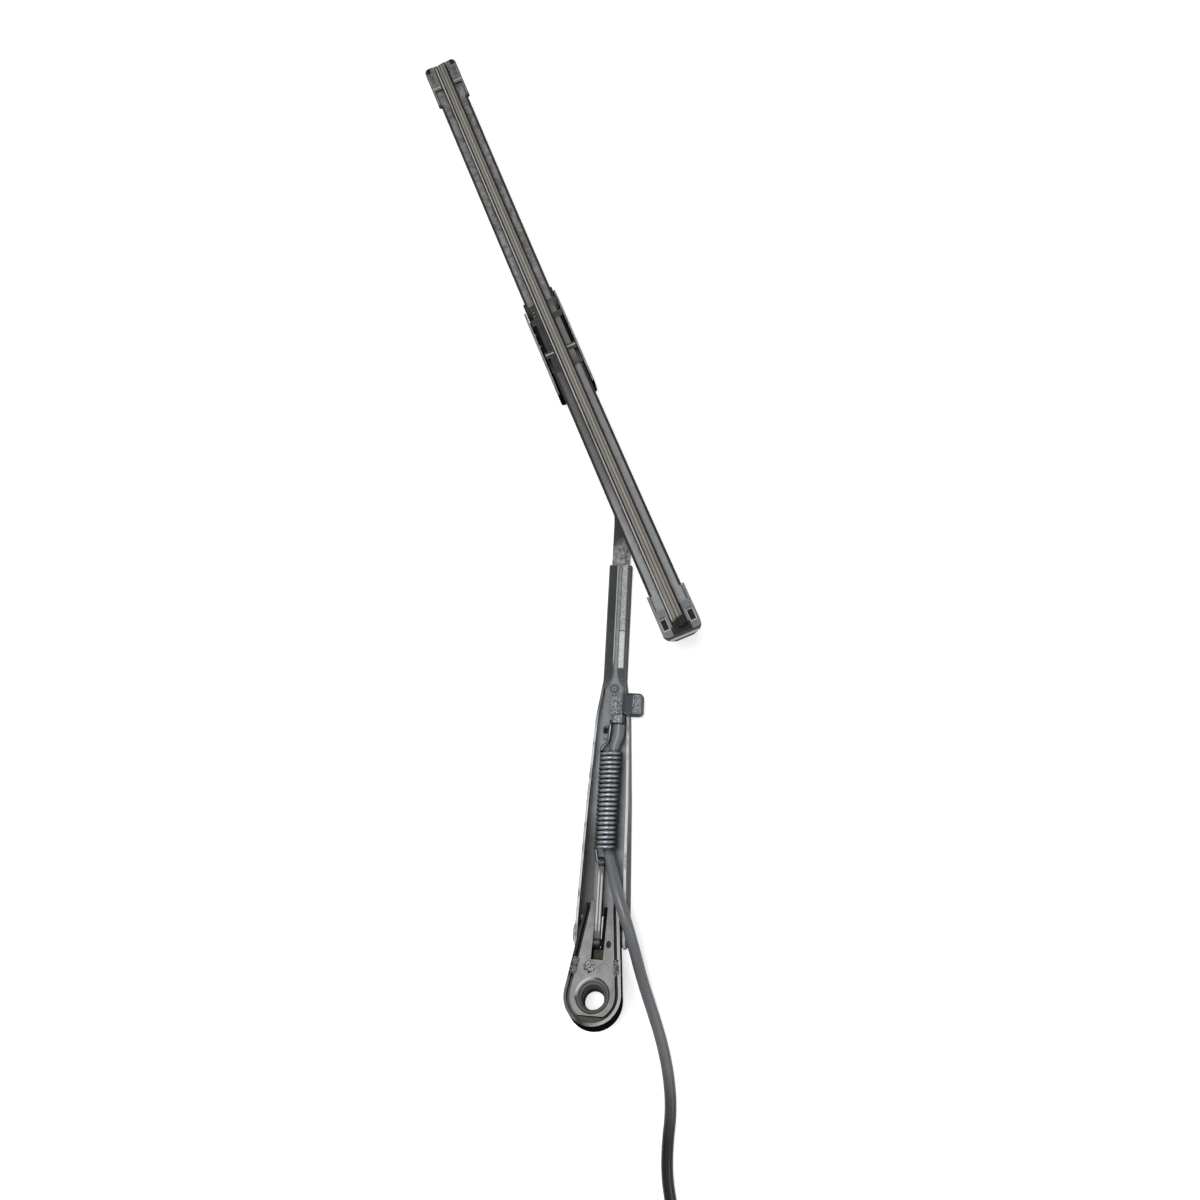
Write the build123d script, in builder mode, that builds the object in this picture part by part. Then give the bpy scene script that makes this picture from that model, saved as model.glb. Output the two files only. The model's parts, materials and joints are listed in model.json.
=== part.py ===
from build123d import *
from math import atan2, cos, degrees, hypot, pi, radians, sin, tan

# A car's wiper arm, lying on its back with its underside up, in millimetres.
# The origin is in the spindle bore, +Y runs along the arm to the blade, +Z points to the glass.

# Clearances
slide_fit = 0.02           # radial, for pins and bushes that are pressed or riveted in
running_fit = 0.05         # radial, for pins that turn
seat_gap = 0.1             # between plastic pieces and what they clip to
wall_gap = 0.4             # between the nozzle and the channel's wall
side_gap = 0.1             # between the hinge bushes and the channel's lugs
stop_gap = 0.3             # between the tongue's stop face and the channel's back
cut_past = 5.0             # how far a cut runs past the faces that it opens

# Head casting
arm_x = 0.5                # the tongue and the arm lie this far to the right of the bore
head_lean = 22.0           # the bore leans this far to the blade with the arm folded in on its stop
head_radius = 14.6
head_length = 47.7         # bore axis to the tip of the tongue
head_bottom = -4.5         # outer face, measured along the bore
head_top = 10.5            # rim on the glass side
head_round = 2.5           # rounding of the outer face's edge
head_wall = 1.4
head_groove = 1.7          # gap between the rim and the face inside it
groove_depth = 3.2
rib_depth = 1.4            # how far the two ribs in the groove lie below the rim
rib_start = 10.0
rib_length = 8.0
face_drop = 0.7            # how far the face lies below the rim
tail_pocket_edge = 9.6     # the face ends this far behind the bore, at a crescent pocket
tail_pocket_depth = 3.0
tongue_width = 18.4
tongue_corner = 4.0
bore_radius = 5.2          # plain hole for the spindle's threaded end
bore_depth = 6.0           # of the plain hole, from the outer face
seat_radius = 6.5          # wide end of the tapered seat
seat_depth = 6.8
mouth_radius = 8.7         # countersunk mouth
slot_width = 6.4           # slot that the spring link swings in
slot_start = 17.4
slot_sill = 6.5            # the slot's end wall is upright down to here, then slopes
slot_sill_end = 23.0
mark_places = [(-3.0, 13.6, 3.2), (4.6, 13.4, 2.5)]    # round casting marks: X, along, radius
mark_depth = 0.2
dimple_x = 5.4             # oval dimple in the right prong
dimple_along = 25.3
dimple_width = 2.6
dimple_length = 3.8
dimple_depth = 0.9

# Hinge
hinge_along = 32.7         # from the bore, along the head
hinge_up = 2.0
hinge_height = 8.0         # hinge above the channel's back
hinge_pin_radius = 3.0
rivet_head_radius = 5.0
rivet_head_height = 1.0
rivet_head_edge = 0.4
bush_wall = 1.0
bush_flange = 0.6
bush_flange_radius = 5.6
knuckle_radius = 6.3
knuckle_half = 11.5

# Spring pin and link
spring_pin_along = 27.3
spring_pin_up = 5.1
spring_pin_radius = 1.8
spring_pin_length = 20.0
link_x = -0.9
link_thickness = 3.2
link_height = 4.0
link_eye_radius = 2.9
link_top_y = 67.7          # where the spring's tail hooks in
link_top_height = 10.6     # above the channel's back

# Channel
sheet = 1.3
lug_radius = 6.9
shoulder_y = 37.7
waist_y = 99.7
waist_half = 12.8          # half widths are at the back, the rims are narrower
neck_y = 145.7
neck_half = 10.4
neck_run = 22.0            # from the neck to the crimp
crimp_half = 7.1
wall_draft = 6.0           # the walls lean in by this angle
seat_recess = 0.55         # depth of the rivets' flat seats in the walls
channel_end = 236.7
plan_rounds = (60.0, 120.0, 60.0, 20.0)
wall_knee_y = 63.7         # from here the walls run down to the crimp
wall_knee_round = 60.0
crimp_round = 40.0
back_round = 1.9
rim_bevel = 0.5            # bevel on the walls' and the lips' outer edges
slit_half = 1.0            # half the gap between the crimped lips
flare_end = 173.7          # where the gap between the lips starts to widen
flare_radius = 14.5
lip_corner = 1.6           # rounding of the lips at the crimp's end
back_cutaway = 8.2         # the back starts this far past the hinge, so that the head can swing

# Rod
rod_width = 10.4
rod_thickness = 3.2
rod_start = 134.7
rod_bend = 70.0
rod_fit = 0.05
hook_radius = 3.8          # inside of the hook
hook_leg = 8.0
anchor_x = -0.2            # slot that the spring hooks into
anchor_y = 143.9
anchor_width = 2.4
anchor_length = 3.4
window_x = -2.7            # open slot beside it
window_y = 139.7
window_width = 2.8
window_run = 4.0
rod_rivet_y = 163.2
rod_rivet_radius = 1.9
rod_rivet_head = 2.7
rod_rivet_height = 1.1
rod_rivet_edge = 0.7

# Spring
wire_radius = 1.0
wire_sides = 6             # the wire is drawn with this many flats
steps_per_turn = 10        # and each turn with this many straight steps
coil_radius = 5.5          # at the wire's middle
coil_pitch = 2.5
coil_turns = 21
spring_x = 1.0
spring_low_y = 75.1
spring_low_height = 10.4
spring_top_height = 8.2
tail_round = 2.2

# Washer nozzle and hose
nozzle_left = -1.4
nozzle_right = 17.4
nozzle_start = 146.3
nozzle_length = 13.6
nozzle_top = 11.2
nozzle_skirt = 2.0         # height of the outer wing's lower face above the channel's back
nozzle_round = 2.2
nozzle_edge = 0.7
collar_radius = 3.4
collar_length = 4.2
hose_radius = 3.0
hose_sides = 12            # the hose is drawn with this many flats
spigot_x = 4.7
spigot_height = 8.6
arc_share = 0.45           # share of a run that the arc at its end takes
hose_lead = 5.0            # straight run out of the nozzle
hose_points = [            # X, Y and height above the channel's back
    (1.9, 127.0, 8.4),
    (1.0, 107.7, 8.9),
    (0.9, 92.7, 9.6),
    (1.5, 77.0, 10.6),
    (5.6, 65.0, 15.0),
    (9.4, 52.7, 20),
    (15.2, 38.7, 21),
    (19.4, 25.2, 16.6),
    (23.2, 10.7, 9.8),
    (28.5, -4.3, 4.8),
    (34.1, -19.3, 3.05),
    (38.4, -35.3, 3.05),
    (40.2, -51.3, 3.05),
    (38.8, -66.8, 3.05),
    (39.0, -81.3, 3.05),
    (42.0, -95.3, 3.05),
    (45.8, -108.3, 3.05),
    (47.5, -120.8, 3.05),
    (47.5, -133.3, 3.05),
]
jet_radius = 1.5
jet_length = 2.0
jet_proud = 0.5
jet_pitch = 6.0
joiner_collar = 3.0
joiner_spigot = 9.0
joiner_spigot_radius = 2.0
joiner_lead = 0.6          # bevel on the spigot's mouth
joiner_bore = 1.1

# Blade
blade_turn = 24.45         # the blade's angle to the arm, to the left
blade_length = 425.0
blade_sag = 20.0           # rise of the tips over the middle, off the glass
pin_x = -46.4
pin_y = 381.0
rail_height = 20.4         # underside of the rails at the middle, above the channel's back
rail_thickness = 0.9
rail_half = 8.9
rail_gap = 1.6             # half the gap between the rails, where the rubber's web stands
rubber_fit = 0.1
rubber_head_half = 4.5
rubber_head = 1.8
rubber_short = 2.5         # the rubber ends this far inside the toe cap's end
shoulder_half = 4.1
shoulder_top = 2.6
lip_neck_half = 0.7
lip_neck_top = 4.1
lip_lean = 35.0            # the lip has taken a set to the right
lip_half = 2.0
lip_shoulder = 1.0         # from the neck, along the lip
lip_edge_half = 0.4
lip_height = 5.5
spoiler_lip = 0.5
spoiler_lip_over = 0.8
spoiler_height = 9.0
crest_left = -2.8
crest_right = -1.0
spoiler_edge = 0.7
wind_hollow = 1.5          # hollow of the side that faces the wind
lee_hollow = 0.9

# Blade end caps
cap_length = 27.0
cap_half = 11.0
cap_claw = 1.5
cap_belly = 6.5
cap_belly_half = 5.0
cap_side = 1.3
cap_entry = 10.0           # the rails lie open over this length
cap_wall = 2.4
cap_round = 3.2
pocket_length = 7.0
pocket_inset = 5.6
pocket_depth = 0.9
pocket_width = 3.6

# Connector
base_length = 50.0
base_plate = 3.2
base_half = 9.9
plate_gap = 0.3            # between the rubber's shoulder and the plates over the rails
plate_thickness = 0.6
claw_place = 10.5          # two pairs of claws stand on the plates, this far from the middle
claw_length = 4.0
claw_rise = 0.6
cheek_inner = 5.8
cheek_thickness = 2.4
cheek_length = 22.0
cheek_radius = 3.8
window_gap = 2.5           # room round the hook in the base's window
base_pin_radius = 2.0
adapter_length = 16.0
ear_length = 3.0
cover_half = 12.2
cover_wall = 1.2
cover_floor = 1.1
cover_heel = 36.0
cover_toe = 36.0
cover_height = 15.0
cover_round = 2.6
cover_corner = 3.0
cover_slant = 8.0          # the toe end of the left wall stands back by this

# Frame of the head
lean = radians(head_lean)
bore_direction = (0, sin(lean), cos(lean))
head_forward = (0, cos(lean), -sin(lean))
head_side = Plane(origin=(0, 0, 0), x_dir=head_forward, z_dir=(1, 0, 0))


def head_plane(up):
    """Plane square to the bore, this far along it from the origin to the glass."""
    origin = tuple(up * part for part in bore_direction)
    return Plane(origin=origin, x_dir=(1, 0, 0), z_dir=bore_direction)


def from_head(along, up):
    """Y and Z of a point that is given along the head and along its bore."""
    return along * cos(lean) + up * sin(lean), up * cos(lean) - along * sin(lean)


hinge_y, hinge_z = from_head(hinge_along, hinge_up)
spring_pin_y, spring_pin_z = from_head(spring_pin_along, spring_pin_up)
back_z = hinge_z - hinge_height


def above_back(height):
    """Z of a height above the channel's back, which is the surface that the arm lies on."""
    return back_z + height


def side_plane(x):
    """Plane across the arm, seen from its right, with Y and Z as its own axes."""
    return Plane.YZ.offset(x)


# Places that follow from the sizes above
lug_inner = knuckle_half + bush_flange + side_gap
lug_half = lug_inner + sheet
draft = tan(radians(wall_draft))
lug_base = lug_half + seat_recess + hinge_height * draft
slot_half = slot_width / 2
bush_radius = hinge_pin_radius + running_fit + bush_wall
root_height = hinge_height + lug_radius
rod_bottom = above_back(sheet)
rod_top = rod_bottom + rod_thickness
crimp_height = 2 * sheet + rod_thickness + rod_fit
channel_start = hinge_y - lug_radius
crimp_y = neck_y + neck_run
turn = radians(blade_turn)
to_toe = Vector(-sin(turn), cos(turn), 0)
across = Vector(cos(turn), sin(turn), 0)
pin_z = rod_top + hook_radius
hook_outer = hook_radius + rod_thickness
bend_y = pin_y + (pin_x - arm_x) / tan(turn)


def head_outline(inset, past=0):
    """The head's outline seen along the bore: a round end drawn in to the tongue, run past its tip."""
    corner_x = tongue_width / 2 - tongue_corner
    corner_y = head_length - tongue_corner
    with BuildSketch() as outline:
        Circle(head_radius - inset)
        with Locations((arm_x - corner_x, corner_y), (arm_x + corner_x, corner_y)):
            Circle(tongue_corner - inset)
        make_hull()
        if past > 0:
            with Locations((arm_x, corner_y)):
                Rectangle(tongue_width - 2 * inset, tongue_corner + past, align=(Align.CENTER, Align.MIN))
    return outline.sketch


# Head casting
face_inset = head_wall + head_groove
with BuildPart() as head_casting:
    with BuildSketch(head_plane(head_bottom)):
        add(head_outline(0))
    extrude(amount=head_top - head_bottom)
    outer_face = head_casting.faces().sort_by(Axis((0, 0, 0), bore_direction))[0]
    fillet(outer_face.edges(), radius=head_round)
    with BuildSketch(side_plane(arm_x - knuckle_half)):
        with Locations((hinge_y, hinge_z)):
            Circle(knuckle_radius)
    extrude(amount=2 * knuckle_half)
    # flat seats for the bushes' flanges, with room for the channel's lugs
    for side in (-1, 1):
        with BuildSketch(side_plane(arm_x + side * knuckle_half)):
            with Locations((hinge_y, hinge_z)):
                Circle(lug_radius + stop_gap)
        extrude(amount=side * knuckle_half, mode=Mode.SUBTRACT)
    # the face, a groove between it and the rim, and two ribs across the groove
    with BuildSketch(head_plane(head_top)):
        add(head_outline(face_inset, cut_past))
    extrude(amount=-face_drop, mode=Mode.SUBTRACT)
    with BuildSketch(head_plane(head_top)):
        add(head_outline(head_wall, cut_past))
        add(head_outline(face_inset, cut_past), mode=Mode.SUBTRACT)
    extrude(amount=-rib_depth, mode=Mode.SUBTRACT)
    with BuildSketch(head_plane(head_top)):
        add(head_outline(head_wall, cut_past))
        add(head_outline(face_inset, cut_past), mode=Mode.SUBTRACT)
        with Locations((0, rib_start)):
            Rectangle(2 * head_radius, rib_length, align=(Align.CENTER, Align.MIN), mode=Mode.SUBTRACT)
    extrude(amount=-groove_depth, mode=Mode.SUBTRACT)
    # crescent pocket behind the bore
    with BuildSketch(head_plane(head_top)):
        add(head_outline(head_wall))
        with Locations((0, -tail_pocket_edge)):
            Rectangle(2 * head_radius, head_radius, align=(Align.CENTER, Align.MAX), mode=Mode.INTERSECT)
    extrude(amount=-tail_pocket_depth, mode=Mode.SUBTRACT)
    # spindle bore: plain hole, tapered seat and countersunk mouth
    seat_start = head_bottom + bore_depth
    with BuildSketch(head_side):
        with BuildLine():
            Polyline(
                (0, head_bottom - cut_past),
                (bore_radius, head_bottom - cut_past),
                (bore_radius, seat_start),
                (seat_radius, seat_start + seat_depth),
                (mouth_radius, head_top - face_drop),
                (mouth_radius, head_top + cut_past),
                (0, head_top + cut_past),
                close=True,
            )
        make_face()
    revolve(axis=Axis((0, 0, 0), bore_direction), mode=Mode.SUBTRACT)
    # slot for the spring link, open to the tongue's tip
    with BuildSketch(head_side.offset(arm_x - slot_half)):
        with BuildLine():
            Polyline(
                (slot_start, head_top + cut_past),
                (slot_start, slot_sill),
                (slot_sill_end, head_bottom - cut_past),
                (head_length + cut_past, head_bottom - cut_past),
                (head_length + cut_past, head_top + cut_past),
                close=True,
            )
        make_face()
    extrude(amount=slot_width, mode=Mode.SUBTRACT)
    # round casting marks on the face, and an oval dimple
    with BuildSketch(head_plane(head_top - face_drop)):
        for mark_x, mark_along, mark_radius in mark_places:
            with Locations((mark_x, mark_along)):
                Circle(mark_radius)
    extrude(amount=-mark_depth, mode=Mode.SUBTRACT)
    with BuildSketch(head_plane(head_top - face_drop)):
        with Locations((arm_x + dimple_x, dimple_along)):
            Ellipse(dimple_width / 2, dimple_length / 2)
    extrude(amount=-dimple_depth, mode=Mode.SUBTRACT)
    # flat stop face under the tongue
    with BuildSketch(Plane.XY.offset(above_back(sheet + stop_gap))):
        with Locations((0, hinge_y)):
            Rectangle(2 * head_radius, head_length, align=(Align.CENTER, Align.MIN))
    extrude(amount=-head_length, mode=Mode.SUBTRACT)
    with BuildSketch(side_plane(-head_radius)):
        with Locations((hinge_y, hinge_z)):
            Circle(bush_radius + slide_fit)
        with Locations((spring_pin_y, spring_pin_z)):
            Circle(spring_pin_radius + slide_fit)
    extrude(amount=2 * head_radius, mode=Mode.SUBTRACT)
head_casting.part.label = "head_casting"
export_step(head_casting.part, "parts/head_casting.step")

# Pin that the spring link hangs on
with BuildPart() as spring_pin:
    with BuildSketch(side_plane(arm_x - spring_pin_length / 2)):
        with Locations((spring_pin_y, spring_pin_z)):
            Circle(spring_pin_radius)
    extrude(amount=spring_pin_length)
spring_pin.part.label = "spring_pin"
export_step(spring_pin.part, "parts/spring_pin.step")

# Flanged hinge bushes and hinge rivets, one of each in either side of the head
for side_name, side in (("left", -1), ("right", 1)):
    inner_end = slot_half + stop_gap
    with BuildPart() as bush:
        with BuildSketch(side_plane(arm_x + side * inner_end)):
            with Locations((hinge_y, hinge_z)):
                Circle(bush_radius)
                Circle(hinge_pin_radius + running_fit, mode=Mode.SUBTRACT)
        extrude(amount=side * (knuckle_half - inner_end))
        with BuildSketch(side_plane(arm_x + side * knuckle_half)):
            with Locations((hinge_y, hinge_z)):
                Circle(bush_flange_radius)
                Circle(hinge_pin_radius + running_fit, mode=Mode.SUBTRACT)
        extrude(amount=side * bush_flange)
    bush.part.label = "hinge_bush_" + side_name
    export_step(bush.part, "parts/hinge_bush_" + side_name + ".step")

    with BuildPart() as rivet:
        with BuildSketch(side_plane(arm_x + side * inner_end)):
            with Locations((hinge_y, hinge_z)):
                Circle(hinge_pin_radius)
        extrude(amount=side * (lug_half - inner_end))
        with BuildSketch(side_plane(arm_x + side * lug_half)):
            with Locations((hinge_y, hinge_z)):
                Circle(rivet_head_radius)
        extrude(amount=side * rivet_head_height)
        outer_rim = rivet.edges().sort_by(Axis.X)[-1 if side > 0 else 0]
        chamfer(outer_rim, length=rivet_head_edge)
    rivet.part.label = "hinge_rivet_" + side_name
    export_step(rivet.part, "parts/hinge_rivet_" + side_name + ".step")

# Link from the head's pin to the spring's tail
link_top_z = above_back(link_top_height)
link_rise = degrees(atan2(link_top_z - spring_pin_z, link_top_y - spring_pin_y))
link_length = hypot(link_top_y - spring_pin_y, link_top_z - spring_pin_z)
with BuildPart() as spring_link:
    with BuildSketch(side_plane(link_x - link_thickness / 2)):
        with Locations(Location((spring_pin_y, spring_pin_z), link_rise)):
            Rectangle(link_length, link_height, align=(Align.MIN, Align.CENTER))
        with Locations((spring_pin_y, spring_pin_z), (link_top_y, link_top_z)):
            Circle(link_eye_radius)
        with Locations((spring_pin_y, spring_pin_z)):
            Circle(spring_pin_radius + running_fit, mode=Mode.SUBTRACT)
        with Locations((link_top_y, link_top_z)):
            Circle(wire_radius + stop_gap, mode=Mode.SUBTRACT)
    extrude(amount=link_thickness)
spring_link.part.label = "spring_link"
export_step(spring_link.part, "parts/spring_link.step")


def channel_outline(inset, past):
    """The channel's back seen from above, drawn in by inset and run past both ends."""
    with BuildSketch() as outline:
        with BuildLine():
            right = FilletPolyline(
                (arm_x + lug_base - inset, channel_start - past),
                (arm_x + lug_base - inset, shoulder_y),
                (arm_x + waist_half - inset, waist_y),
                (arm_x + neck_half - inset, neck_y),
                (arm_x + crimp_half - inset, crimp_y),
                (arm_x + crimp_half - inset, channel_end + past),
                radius=plan_rounds,
            )
            left = mirror(right, about=Plane.YZ.offset(arm_x))
            Line(right @ 0, left @ 0)
            Line(right @ 1, left @ 1)
        make_face()
    return outline.sketch


def channel_block(inset, low, high, mode=Mode.ADD):
    """A block between two heights above the back, with the channel's plan and its walls' draft."""
    sections = []
    for height in (low, high):
        with BuildSketch(Plane.XY.offset(above_back(height))) as section:
            add(channel_outline(inset + height * draft, cut_past))
        sections.append(section.sketch)
    loft(sections, ruled=True, mode=mode)


# The open top of the channel, which narrows to the slit between the lips
with BuildPart() as opening:
    channel_block(sheet, sheet + rod_thickness, root_height + cut_past)
    with BuildSketch(Plane.XY.offset(rod_top)):
        with BuildLine():
            slit = Line((arm_x + slit_half, channel_end + cut_past), (arm_x + slit_half, flare_end))
            flare = RadiusArc(slit @ 1, slit @ 1 + Vector(flare_radius, -flare_radius), -flare_radius)
            edge = Line(flare @ 1, ((flare @ 1).X, channel_start - cut_past))
            mirror(slit, about=Plane.YZ.offset(arm_x))
            mirror(flare, about=Plane.YZ.offset(arm_x))
            mirror(edge, about=Plane.YZ.offset(arm_x))
            Line(slit @ 0, (arm_x - slit_half, channel_end + cut_past))
            Line(edge @ 1, (2 * arm_x - (edge @ 1).X, channel_start - cut_past))
        make_face()
    extrude(amount=root_height + cut_past, mode=Mode.INTERSECT)

# Pressed channel: hinge lugs, walls that run down to the crimp, and lips folded over the rod
with BuildPart() as channel:
    channel_block(0, 0, root_height)
    with BuildSketch(side_plane(arm_x - 2 * lug_half)):
        with BuildLine():
            top = FilletPolyline(
                (channel_end, above_back(crimp_height)),
                (crimp_y, above_back(crimp_height)),
                (wall_knee_y, above_back(root_height)),
                (hinge_y, above_back(root_height)),
                radius=(crimp_round, wall_knee_round),
            )
            Polyline(top @ 1, (hinge_y, back_z), (channel_end, back_z), top @ 0)
        make_face()
        with Locations((hinge_y, hinge_z)):
            Circle(lug_radius)
    extrude(amount=4 * lug_half, mode=Mode.INTERSECT)
    back_edges = channel.faces().sort_by(Axis.Z)[0].edges()
    fillet(back_edges.filter_by(lambda edge: abs((edge % 0.5).Y) > abs((edge % 0.5).X)), radius=back_round)
    long_edges = channel.edges().filter_by(lambda edge: abs((edge % 0.5).Y) > 1 / 2)
    rim_edges = long_edges.filter_by(lambda edge: (edge @ 0.5).Z > above_back(crimp_height - sheet))
    chamfer(rim_edges, length=rim_bevel)
    # room for the rod, and the open top
    channel_block(sheet, sheet, sheet + rod_thickness + rod_fit, Mode.SUBTRACT)
    add(opening.part, mode=Mode.SUBTRACT)
    lip_ends = channel.faces().sort_by(Axis.Y)[-1].edges().filter_by(Axis.Z)
    fillet(lip_ends.filter_by(lambda edge: edge.length < 2 * sheet), radius=lip_corner)
    # the back is cut away under the hinge
    with BuildSketch(Plane.XY.offset(back_z - cut_past)):
        with Locations((arm_x, hinge_y + back_cutaway)):
            Rectangle(2 * lug_inner, 2 * lug_radius + back_cutaway, align=(Align.CENTER, Align.MAX))
    extrude(amount=cut_past + 2 * sheet, mode=Mode.SUBTRACT)
    # upright hinge lugs with flat seats, inside for the bushes' flanges and outside for the rivets' heads
    for side in (-1, 1):
        with BuildSketch(side_plane(arm_x + side * lug_inner)):
            with Locations((hinge_y, hinge_z)):
                Circle(lug_radius)
        extrude(amount=side * sheet)
    with BuildSketch(side_plane(arm_x - lug_inner)):
        with Locations((hinge_y, hinge_z)):
            Circle(lug_radius + stop_gap)
    extrude(amount=2 * lug_inner, mode=Mode.SUBTRACT)
    for side in (-1, 1):
        with BuildSketch(side_plane(arm_x + side * lug_half)):
            with Locations((hinge_y, hinge_z)):
                Circle(rivet_head_radius + stop_gap)
        extrude(amount=side * lug_half, mode=Mode.SUBTRACT)
    with BuildSketch(side_plane(arm_x - lug_half)):
        with Locations((hinge_y, hinge_z)):
            Circle(hinge_pin_radius + slide_fit)
    extrude(amount=2 * lug_half, mode=Mode.SUBTRACT)
    with BuildSketch(Plane.XY.offset(back_z)):
        with Locations((arm_x, rod_rivet_y)):
            Circle(rod_rivet_radius + slide_fit)
    extrude(amount=sheet, mode=Mode.SUBTRACT)
channel.part.label = "channel"
export_step(channel.part, "parts/channel.step")

# Flat rod: straight out of the crimp, bent to the blade, and hooked round the connector
pin_point = (pin_x, pin_y, pin_z)
hook_plane = Plane(origin=pin_point, x_dir=to_toe, z_dir=across)
with BuildPart() as wiper_rod:
    with BuildSketch(Plane.XY.offset(rod_bottom)):
        with BuildLine():
            FilletPolyline((arm_x, rod_start), (arm_x, bend_y), (pin_x, pin_y), radius=rod_bend)
        trace(line_width=rod_width)
        with Locations((anchor_x, anchor_y)):
            Rectangle(anchor_width, anchor_length, mode=Mode.SUBTRACT)
        with Locations((window_x, window_y)):
            Rectangle(window_width, window_run, mode=Mode.SUBTRACT)
        with Locations((arm_x, rod_rivet_y)):
            Circle(rod_rivet_radius + slide_fit, mode=Mode.SUBTRACT)
    extrude(amount=rod_thickness)
    with BuildSketch(hook_plane):
        Circle(hook_outer)
        Circle(hook_radius, mode=Mode.SUBTRACT)
        Rectangle(hook_outer, 2 * hook_outer, align=(Align.MIN, Align.CENTER), mode=Mode.INTERSECT)
        with Locations((0, hook_radius)):
            Rectangle(hook_leg, rod_thickness, align=(Align.MAX, Align.MIN))
    extrude(amount=rod_width / 2, both=True)
wiper_rod.part.label = "wiper_rod"
export_step(wiper_rod.part, "parts/wiper_rod.step")

# Rivet through the channel's back and the rod
with BuildPart() as rod_rivet:
    with BuildSketch(Plane.XY.offset(back_z)):
        with Locations((arm_x, rod_rivet_y)):
            Circle(rod_rivet_radius)
    extrude(amount=sheet + rod_thickness)
    with BuildSketch(Plane.XY.offset(rod_top)):
        with Locations((arm_x, rod_rivet_y)):
            Circle(rod_rivet_head)
    extrude(amount=rod_rivet_height)
    chamfer(rod_rivet.edges().sort_by(Axis.Z)[-1], length=rod_rivet_edge)
rod_rivet.part.label = "rod_rivet"
export_step(rod_rivet.part, "parts/rod_rivet.step")

# Close-wound tension spring with a hooked tail at each end
coil_height = coil_pitch * coil_turns
coil_steps = round(coil_turns * steps_per_turn)
spring_low = Vector(spring_x, spring_low_y, above_back(spring_low_height))
spring_direction = Vector(0, coil_height, spring_top_height - spring_low_height).normalized()
helix = Helix(
    pitch=coil_pitch,
    height=coil_height,
    radius=coil_radius,
    center=spring_low,
    direction=spring_direction,
).rotate(Axis(spring_low, spring_direction), -90)
coil_start = helix @ 0
coil_end = helix @ 1
hook_y = anchor_y - anchor_length / 2 + wire_radius + seat_gap
lower_tail = [
    coil_start,
    (coil_start.X, link_top_y, link_top_z),
    (link_x + link_thickness / 2 + 2 * stop_gap, link_top_y, link_top_z),
]
upper_tail = [
    coil_end,
    (anchor_x, hook_y, rod_top + 2 * wire_radius),
    (anchor_x, hook_y, rod_bottom + wire_radius),
]
with BuildPart() as tension_spring:
    for step in range(coil_steps + 1):
        place = step / coil_steps
        outward = helix @ place - spring_low - spring_direction * (place * coil_height)
        with BuildSketch(Plane(origin=helix @ place, x_dir=outward, z_dir=helix % place)):
            RegularPolygon(wire_radius, wire_sides)
    loft(ruled=True)
    for tail_points in (lower_tail, upper_tail):
        with BuildLine() as tail:
            FilletPolyline(*tail_points, radius=tail_round)
        with BuildSketch(Plane(origin=tail.line @ 0, z_dir=tail.line % 0)):
            RegularPolygon(wire_radius, wire_sides)
        sweep(path=tail.line)
tension_spring.part.label = "tension_spring"
export_step(tension_spring.part, "parts/tension_spring.step")


def arm_section(y):
    """Plane across the arm at this Y, seen from the head's end, with X and Z as its own axes."""
    return Plane(origin=(0, y, 0), x_dir=(1, 0, 0), z_dir=(0, -1, 0))


# Washer nozzle: a body on the rod, bridged over the right wall to a wing outside
nozzle_end = nozzle_start + nozzle_length
neck_slope = (neck_half - crimp_half) / (crimp_y - neck_y)
wall_slope = (root_height - crimp_height) / (crimp_y - wall_knee_y)
bridge_height = crimp_height + wall_slope * (crimp_y - nozzle_start) + wall_gap
wall_narrow = arm_x + crimp_half + neck_slope * (crimp_y - nozzle_end)
wall_inside = wall_narrow - sheet - bridge_height * draft - wall_gap
wall_outside = arm_x + crimp_half + neck_slope * (crimp_y - nozzle_start) + wall_gap
jet_places = [
    (nozzle_start + nozzle_length / 2 + place * jet_pitch / 2, above_back((nozzle_top + nozzle_skirt) / 2))
    for place in (-1, 1)
]
with BuildPart() as spray_nozzle:
    with BuildSketch(arm_section(nozzle_start)):
        with BuildLine():
            Polyline(
                (nozzle_left, rod_top + seat_gap),
                (wall_inside, rod_top + seat_gap),
                (wall_inside, above_back(bridge_height)),
                (wall_outside, above_back(bridge_height)),
                (wall_outside, above_back(nozzle_skirt)),
                (nozzle_right, above_back(nozzle_skirt)),
                (nozzle_right, above_back(nozzle_top)),
                (nozzle_left, above_back(nozzle_top)),
                close=True,
            )
        make_face()
    extrude(amount=-nozzle_length)
    fillet(spray_nozzle.edges().filter_by(Axis.Z).group_by(Axis.X)[-1], radius=nozzle_round)
    chamfer(spray_nozzle.faces().sort_by(Axis.Z)[-1].edges(), length=nozzle_edge)
    with BuildSketch(arm_section(nozzle_start)):
        with Locations((spigot_x, above_back(spigot_height))):
            Circle(collar_radius)
    extrude(amount=collar_length)
    with BuildSketch(side_plane(nozzle_right)):
        with Locations(*jet_places):
            Circle(jet_radius + slide_fit)
    extrude(amount=-jet_length, mode=Mode.SUBTRACT)
spray_nozzle.part.label = "spray_nozzle"
export_step(spray_nozzle.part, "parts/spray_nozzle.step")

# Two jets pressed into the nozzle's wing
with BuildPart() as nozzle_jets:
    with BuildSketch(side_plane(nozzle_right - jet_length)):
        with Locations(*jet_places):
            Circle(jet_radius)
    extrude(amount=jet_length + jet_proud)
    chamfer(nozzle_jets.edges().group_by(Axis.X)[-1], length=jet_proud / 2)
nozzle_jets.part.label = "nozzle_jets"
export_step(nozzle_jets.part, "parts/nozzle_jets.step")

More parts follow.
